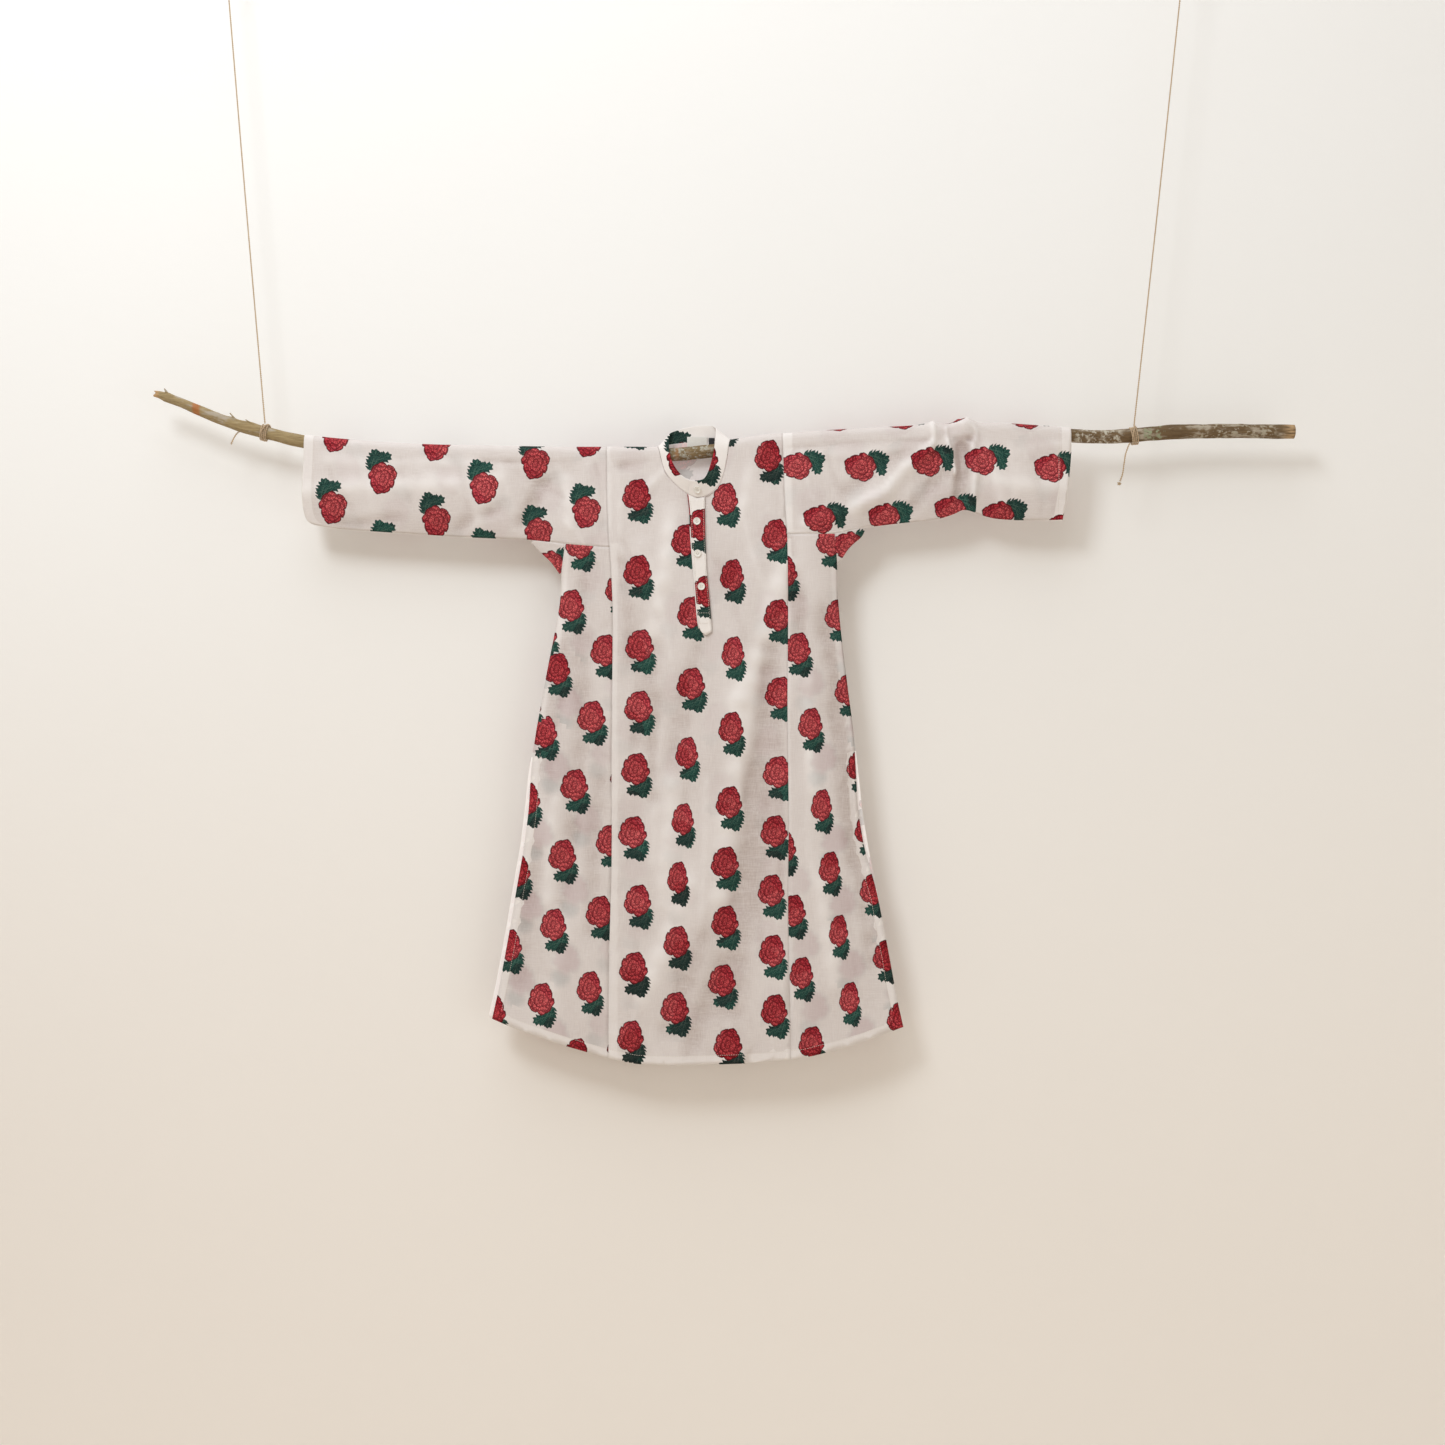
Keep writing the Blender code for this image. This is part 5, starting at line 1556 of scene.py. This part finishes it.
def cotton_material():
    material, tree, shader = new_material("printed cotton", 0.9)
    weave = placed_group(tree, slub_weave, object_place(tree))
    slub = weave.outputs["Slub"]
    # Painted shade and light: the cloth is darker where its fold height is low and lighter where it
    # is high.
    fold_shading = between(tree, read_attribute(tree, "fold_shading"), -0.9, 0.9)
    cloth = blend_colours(tree, fold_shading, VOILE["folds"], VOILE["flat"])
    slubs = product(tree, between(tree, slub, 0.34, 0.70), 0.5)
    cloth = blend_colours(tree, slubs, cloth, VOILE["slubs"])
    hem = read_attribute(tree, "hem")
    hemmed = between(tree, hem, HEM_WIDTH + 1.0, HEM_WIDTH)
    cloth = blend_colours(tree, product(tree, hemmed, 0.45), cloth, VOILE["doubled"])
    creased = product(tree, between(tree, hem, 2.6, 1.0), 0.55)
    cloth = blend_colours(tree, creased, cloth, VOILE["edge"])
    turned_in = product(tree, read_attribute(tree, "allowance"), 0.7)
    cloth = blend_colours(tree, turned_in, cloth, VOILE["doubled"])
    far = placed_group(tree, rose_print, uv_place(tree, "far_print"))
    single = maths(tree, "SUBTRACT", 1.0, hemmed)
    x_place, _, z_place = axes_of(tree, object_place(tree))
    aside = between(tree, maths(tree, "ABSOLUTE", x_place), *GHOSTS_ASIDE)
    low_down = between(tree, z_place, *GHOSTS_LOW)
    seen = maths(tree, "MULTIPLY_ADD", product(tree, aside, low_down), 0.16, 0.07)
    ghost = product(tree, product(tree, far.outputs["Haze"], single), seen)
    cloth = blend_colours(tree, ghost, cloth, far.outputs["Haze Colour"])
    rose = placed_group(tree, rose_print, uv_place(tree, "print"))
    own_tone = product(tree, read_attribute(tree, "tone"), 0.34)
    ink = doubled(tree, own_tone, rose.outputs["Colour"], STAINS["own"])
    under = product(tree, far.outputs["Mask"], 0.50)
    ink = doubled(tree, under, ink, STAINS["far print"])
    twice = product(tree, hemmed, maths(tree, "MULTIPLY_ADD", rose.outputs["Bloom"], 0.42, 0.20))
    ink = doubled(tree, twice, ink, STAINS["hem"])
    inner = read_attribute(tree, "inner")
    strong = maths(tree, "MULTIPLY_ADD", inner, -0.72, 1.0)
    worn = maths(tree, "MULTIPLY_ADD", between(tree, slub, 0.20, 0.46), 0.14, 0.86)
    share = product(tree, product(tree, rose.outputs["Mask"], strong), worn)
    colour = blend_colours(tree, share, cloth, ink)
    paint(tree, shader, colour, weave.outputs["Threads"], 0.5, 1.4 * MM)
    # The inner faces glow faintly in their own colour: painted light, in place of the light that
    # shines through the thin cloth.
    tree.links.new(blend_colours(tree, inner, srgb(0, 0, 0), colour),
                   shader.inputs["Emission Color"])
    shader.inputs["Emission Strength"].default_value = INNER_PAINTED_LIGHT
    shader.inputs["Specular IOR Level"].default_value = 0.12
    return material


cotton = cotton_material()
print("material", cotton.name)


# %% Finish the panels
def finish_cloth(piece, node):
    piece.data.materials.append(cotton)
    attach(piece, "root")
    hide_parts(*SOLIDS_OF.get(node, (node,)))


for node, shell in shells.items():
    finish_cloth(shell, node)

# %% [markdown]
# ## Collar and button strip
#
# The band collar and the button strip are folded double, so the cloth there is whiter and the
# print deeper. They are cut from the same cloth, with the same roses, cut where they fall.

# %% Collar and strips
BAND_ROSES = {
    # x, y and turn in degrees, first in front and then behind
    "collar": (((681, 461, 180), (704, 459, 0)), ((682, 457, 180), (770, 440, 0))),
    "placket_top": (((700, 526, 0), (706, 592, 0)), ((0, 0, 0),)),
    "placket_under": (((687, 501, 0),), ((0, 0, 0),)),
}


def band_map(mesh, points, front, back):
    """A print map for the bands: each face takes the nearest rose of its own side."""
    corners, face_of = corners_of(mesh)
    middles = face_middles(points, corners, face_of)
    centres = np.array([in_metres(x, y) for x, y, _ in front + back])
    turns = np.radians([turn for _, _, turn in front + back])
    behind = np.array([False] * len(front) + [True] * len(back))
    gap = ((middles[:, None, [0, 2]] - centres[None]) ** 2).sum(axis=2)
    gap += np.where(behind[None, :] == (middles[:, 1:2] > 2 * MM), 0.0, 9.0)
    number = gap.argmin(axis=1)[face_of]
    return turned(points[corners][:, [0, 2]] - centres[number], turns[number])


BAND_TONE = 0.8
NO_ROSE = 9.0


def dress_band(node, levels):
    shell = welded_copy((node,), f"cloth_{node}")
    round_off(shell, levels)
    points = points_of(shell)
    front, back = BAND_ROSES[node]
    write_uv(shell.data, "print", band_map(shell.data, points, front, back))
    write_uv(shell.data, "far_print", np.full((len(shell.data.loops), 2), NO_ROSE))
    note_on(shell.data, "hem", "POINT", np.zeros(len(points)))
    note_on(shell.data, "inner", "FACE", np.zeros(len(shell.data.polygons)))
    note_on(shell.data, "tone", "FACE", np.full(len(shell.data.polygons), BAND_TONE))
    x, y, z = points.T
    ripple = 0.16 * np.sin(260 * x + 90 * z) * np.sin(150 * z + 40 * x) * MM
    points[:, 1] += ripple
    if node.startswith("placket"):
        strip_relief, _ = cloth_relief(points)
        points[:, 1] -= strip_relief
    move_points(shell, points)
    return shell


BAND_LEVELS = {"collar": 3, "placket_top": 2, "placket_under": 2}
bands = {node: dress_band(node, levels) for node, levels in BAND_LEVELS.items()}
for node, shell in bands.items():
    finish_cloth(shell, node)

# %% [markdown]
# ## Buttons, label and tab
#
# Four small white buttons, each turned with a rim, dished, and drilled with four holes that
# the thread crosses. One is modelled with inset and bevel, its holes are cut with a Boolean,
# and the rest are copies with their own meshes. A line of sight says where each one lies.

# %% Lay points on the cloth
surfaces = {node: tree_of_all([shell]) for node, shell in {**shells, **bands}.items()}


def lay_on(node, x, z, face):
    """Where a line of sight from the front or the back first meets a shell, and its normal."""
    start = Vector((x, -0.3 if face == "front" else 0.3, z))
    way = Vector((0.0, 1.0 if face == "front" else -1.0, 0.0))
    place, normal, _, _ = surfaces[node].ray_cast(start, way)
    return place, normal


print("surfaces to lay pieces on", len(surfaces))


# %% Button and thread finishes
def button_material():
    material, tree, shader = new_material("button", 0.32)
    swirl = noise(tree, stretched(tree, object_place(tree), (300.0, 300.0, 120.0)), 1.0, 3.0)
    shell_white = blend_colours(tree, swirl, srgb(228, 224, 216), srgb(247, 245, 240))
    paint(tree, shader, shell_white, swirl, 0.15, 0.2 * MM)
    shader.inputs["Coat Weight"].default_value = 0.25
    return material


def thread_material():
    material, tree, shader = new_material("thread", 0.8)
    fibres = noise(tree, object_place(tree), 2600.0, 2.0)
    raw_white = blend_colours(tree, fibres, srgb(206, 196, 184), srgb(240, 234, 226))
    paint(tree, shader, raw_white, fibres, 0.5, 0.2 * MM)
    return material


button_finish = button_material()
thread_finish = thread_material()
print("materials", button_finish.name, "and", thread_finish.name)

# %% Model one button
BUTTON_RADIUS = 5.7 * MM
BUTTON_DEPTH = 2.3 * MM
RIM_WIDTH = 1.1 * MM
DISH_SLOPE = 0.55 * MM
DISH_DEPTH = 0.6 * MM
HOLE_PLACE = 1.35 * MM
HOLE_RADIUS = 0.62 * MM
THREAD_LOOP = (2.05 * MM, 0.27 * MM, 0.5 * MM)
THREAD_HEIGHT = 0.62 * MM
THREADS_APART = 0.24 * MM


def select_top_face(obj):
    bpy.ops.mesh.select_mode(type="FACE")
    bpy.ops.mesh.select_all(action="DESELECT")
    mesh = bmesh.from_edit_mesh(obj.data)
    top = max(mesh.faces, key=lambda face: face.calc_center_median().z)
    top.select_set(True)
    bmesh.update_edit_mesh(obj.data)


def sewing_button():
    bpy.ops.object.select_all(action="DESELECT")
    bpy.ops.mesh.primitive_cylinder_add(vertices=36, radius=BUTTON_RADIUS, depth=BUTTON_DEPTH)
    button = bpy.context.object
    bpy.ops.object.mode_set(mode="EDIT")
    select_top_face(button)
    bpy.ops.mesh.inset(thickness=RIM_WIDTH)
    bpy.ops.mesh.inset(thickness=DISH_SLOPE, depth=-DISH_DEPTH)
    bpy.ops.object.mode_set(mode="OBJECT")
    bevel = button.modifiers.new("Rim", "BEVEL")
    bevel.width = 0.32 * MM
    bevel.segments = 3
    bevel.limit_method = "ANGLE"
    bpy.ops.object.modifier_apply(modifier=bevel.name)
    for side_x in (-1, 1):
        for side_y in (-1, 1):
            bpy.ops.mesh.primitive_cylinder_add(
                vertices=12, radius=HOLE_RADIUS, depth=3 * BUTTON_DEPTH,
                location=(side_x * HOLE_PLACE, side_y * HOLE_PLACE, 0))
            drill = bpy.context.object
            hole = button.modifiers.new("Hole", "BOOLEAN")
            hole.operation = "DIFFERENCE"
            hole.object = drill
            only(button)
            bpy.ops.object.modifier_apply(modifier=hole.name)
            bpy.data.objects.remove(drill)
    button.data.materials.clear()
    button.data.materials.append(button_finish)
    bpy.ops.object.shade_smooth_by_angle(angle=math.radians(40))
    stitches = []
    for side_y in (-1, 1):
        for apart in (-THREADS_APART, THREADS_APART):
            bpy.ops.mesh.primitive_uv_sphere_add(segments=8, ring_count=6, radius=1.0)
            loop = bpy.context.object
            loop.scale = THREAD_LOOP
            loop.location = (0, side_y * HOLE_PLACE + apart, THREAD_HEIGHT)
            bpy.ops.object.transform_apply(location=True, rotation=True, scale=True)
            loop.data.shade_smooth()
            loop.data.materials.append(thread_finish)
            stitches.append(loop)
    return joined("button", [button] + stitches)


first_button = sewing_button()
print("button", len(first_button.data.polygons), "faces")

# %% Sew the four buttons on
BUTTON_GAP = 0.15 * MM
for number in range(1, 5):
    node = f"button_{number}"
    low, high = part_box(node)
    centre = (low + high) / 2
    seat, way = lay_on("collar" if number == 1 else "placket_top", centre.x, centre.z, "front")
    sewn = first_button.copy()
    sewn.data = first_button.data.copy()
    sewn.name = f"sewn_{node}"
    scene.collection.objects.link(sewn)
    sewn.location = seat + way * (BUTTON_DEPTH / 2 + BUTTON_GAP)
    sewn.rotation_euler = (way.to_track_quat("Z", "Y").to_matrix()
                           @ Matrix.Rotation(0.35 * number, 3, "Z")).to_euler()
    only(sewn)
    bpy.ops.object.transform_apply(location=True, rotation=True, scale=True)
    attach(sewn, "root")
    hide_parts(node)
    print(node, "y", round(seat.y * 1000, 1), "solid", round(centre.y * 1000, 1))
bpy.data.objects.remove(first_button)


# %% Bare label and tab
def woven_plate(node, name, colours):
    """A small woven label: its edges are rounded and its face waves a little."""
    plate = welded_copy((node,), name)
    only(plate)
    bpy.ops.object.mode_set(mode="EDIT")
    bpy.ops.mesh.select_all(action="SELECT")
    bpy.ops.mesh.subdivide(number_cuts=9)
    bpy.ops.object.mode_set(mode="OBJECT")
    points = points_of(plate)
    x, y, z = points.T
    points[:, 1] += 0.22 * MM * np.sin(420 * x + 160 * z)
    move_points(plate, points)
    bevel = plate.modifiers.new("Edge", "BEVEL")
    bevel.width = 0.2 * MM
    bevel.segments = 2
    bpy.ops.object.modifier_apply(modifier=bevel.name)
    plate.data.shade_smooth()
    material, tree, shader = new_material(name, 0.6)
    place = object_place(tree)
    rows = noise(tree, stretched(tree, place, (300.0, 300.0, 2600.0)), 1.0, 2.0)
    woven = blend_colours(tree, rows, srgb(*colours[0]), srgb(*colours[1]))
    paint(tree, shader, woven, rows, 0.6, 0.3 * MM)
    plate.data.materials.append(material)
    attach(plate, "root")
    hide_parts(node)
    return plate


label = woven_plate("neck_label", "woven_label", ((214, 211, 206), (243, 242, 238)))
tab = woven_plate("size_tab", "woven_tab", ((16, 16, 18), (40, 40, 44)))
low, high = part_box("neck_label")

# %% [markdown]
# ## Stitches
#
# Every hem is machine sewn. Each stitch is a small capsule that lies on the cloth: a ray is cast
# at the shell from the front or the back, and the stitch is set where it lands, along the line
# of sewing. All the stitches of one side are one mesh.


# %% Stitch sizes and lines of sewing
STITCH = 2.5 * MM
STITCH_PITCH = 3.5 * MM
STITCH_WIDTH = 0.32 * MM
STITCH_LIFT = 0.12 * MM
HEM_LINE = np.array(((-0.3310, -0.8814), (-0.3073, -0.8908), (-0.2090, -0.9245),
                     (-0.1404, -0.9438), (-0.0983, -0.9524), (-0.0374, -0.9547),
                     (0.0696, -0.9516), (0.1590, -0.9438), (0.2370, -0.9245), (0.2950, -0.9032),
                     (0.3170, -0.8960)))
SIDE_LINES = {
    "left": np.array(((-0.465, -0.2605), (-0.505, -0.2686), (-0.574, -0.2748), (-0.635, -0.2833),
                      (-0.691, -0.2946), (-0.746, -0.3030), (-0.794, -0.3120),
                      (-0.838, -0.3204), (-0.896, -0.3335))),
    "right": np.array(((-0.465, 0.2433), (-0.505, 0.2476), (-0.574, 0.2546), (-0.635, 0.2660),
                       (-0.691, 0.2776), (-0.746, 0.2872), (-0.794, 0.2966),
                       (-0.838, 0.3035), (-0.896, 0.3167))),
}


def stitch_marks(route):
    """Even pairs of ends along a flat line of (x, z), one pair for each stitch."""
    route = np.array(route)
    lengths = np.concatenate([[0], np.cumsum(np.linalg.norm(np.diff(route, axis=0), axis=1))])
    starts = np.arange(0, lengths[-1] - STITCH, STITCH_PITCH)
    return [[(np.interp(at, lengths, route[:, 0]), np.interp(at, lengths, route[:, 1]))
             for at in (start, start + STITCH)] for start in starts]


def stitch_rings(a, b, normal):
    """A capsule from a to b: three rings of five points, and a point at each end."""
    along = (b - a).normalized()
    side = along.cross(normal).normalized()
    rings = []
    for share, size in ((0.12, 0.75), (0.5, 1.0), (0.88, 0.75)):
        middle = a.lerp(b, share)
        for step in range(5):
            turn = 2 * math.pi * step / 5
            rings.append(middle + STITCH_WIDTH * size * (math.cos(turn) * side
                                                         + 0.7 * math.sin(turn) * normal))
    return rings + [a, b]


STITCH_FACES = ([(5 * r + s, 5 * r + (s + 1) % 5, 5 * r + 5 + (s + 1) % 5, 5 * r + 5 + s)
                 for r in range(2) for s in range(5)]
                + [((s + 1) % 5, s, 15) for s in range(5)]
                + [(10 + s, 10 + (s + 1) % 5, 16) for s in range(5)])


print("stitch", len(STITCH_FACES), "faces")


# %% Sew along lines
def sew(name, lines):
    """Stitches along lines of (node, face, route)."""
    verts, faces = [], []
    for node, face, route in lines:
        for (ax, az), (bx, bz) in stitch_marks(route):
            start, start_way = lay_on(node, ax, az, face)
            end, end_way = lay_on(node, bx, bz, face)
            if start is None or end is None or (start - end).length > 2 * STITCH:
                continue
            normal = (start_way + end_way).normalized()
            if normal.y * (1 if face == "front" else -1) > 0:
                normal = -normal
            base = len(verts)
            lift = normal * STITCH_LIFT
            verts += stitch_rings(start + lift, end + lift, normal)
            faces += [tuple(base + corner for corner in corners) for corners in STITCH_FACES]
    piece = mesh_piece(name, verts, faces)
    face_outwards(piece)
    piece.data.materials.append(thread_finish)
    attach(piece, "root")
    print(name, len(faces) // len(STITCH_FACES), "stitches")
    return piece


# %% Sew the hems, slits, cuffs and strip
SLIT_SEWN = (-0.470, -0.872)
SLIT_OPENS_OVER = 0.060
SLIT_SET_BACK = 7 * MM
RIGHT_CLOSES_AT = -0.620
RIGHT_CLOSES_OVER = 0.080


def hem_route(start, end, rise):
    xs = np.linspace(start, end, 60)
    return list(zip(xs, np.interp(xs, HEM_LINE[:, 0], HEM_LINE[:, 1]) + rise))


def slit_route(side, inset, shown):
    """The sewing beside a slit. In front the slit's open stretch lies further in."""
    sign = -1 if side == "left" else 1
    zs = np.linspace(*SLIT_SEWN, 60)
    line = SIDE_LINES[side][::-1]
    edge = np.interp(zs, line[:, 0], line[:, 1])
    opened = np.clip((SLIT_TOP - zs) / SLIT_OPENS_OVER, 0, 1)
    if side == "right":
        opened = opened * (1 - np.clip((RIGHT_CLOSES_AT - zs) / RIGHT_CLOSES_OVER, 0, 1))
    return list(zip(edge - sign * (inset + shown * SLIT_SET_BACK * opened), zs))


HEM_RISE = HEM_WIDTH * MM
CUFF_INSET = 16 * MM
CUFFS = {"left": -0.6170, "right": 0.5740}
CUFF_FOOT = -0.100
for face in ("front", "back"):
    lines = [
        (f"side_{face}_left", face, hem_route(-0.300, -0.143, HEM_RISE)),
        (f"{face}_centre", face, hem_route(-0.140, 0.138, HEM_RISE)),
        (f"side_{face}_right", face, hem_route(0.142, 0.288, HEM_RISE)),
    ]
    for side, cuff in CUFFS.items():
        shown = 1 if face == "front" else 0
        lines.append((f"side_{face}_{side}", face, slit_route(side, SLIT_HEM_WIDTH * MM, shown)))
        edge = cuff - math.copysign(CUFF_INSET, cuff)
        top = float(branch_z(edge)) + 9 * MM
        lines.append((f"sleeve_{side}", face, [(edge, top), (edge, CUFF_FOOT)]))
    sew(f"stitches_{face}", lines)

# %% Sew the button strip
STRIP_EDGES = np.array(((-0.060, -0.0189, 0.0072), (-0.094, -0.0148, 0.0076),
                        (-0.128, -0.0140, 0.0082), (-0.187, -0.0094, 0.0104),
                        (-0.230, -0.0058, 0.0150), (-0.264, -0.0030, 0.0178),
                        (-0.281, 0.0, 0.0187)))[::-1]
STRIP_TOP = -0.078
STRIP_FOOT = -0.272
STRIP_INSET = 2.0 * MM
CROSS_ROWS = (-0.252, -0.268)
heights = np.linspace(STRIP_TOP, STRIP_FOOT, 50)
left_edge = np.interp(heights, STRIP_EDGES[:, 0], STRIP_EDGES[:, 1]) + STRIP_INSET
right_edge = np.interp(heights, STRIP_EDGES[:, 0], STRIP_EDGES[:, 2]) - STRIP_INSET
strip_lines = [("placket_top", "front", list(zip(left_edge, heights))),
               ("placket_top", "front", list(zip(right_edge, heights)))]
for height in CROSS_ROWS:
    index = int(np.argmin(np.abs(heights - height)))
    strip_lines.append(("placket_top", "front", [(left_edge[index], height),
                                                 (right_edge[index], height)]))
sew("stitches_strip", strip_lines)
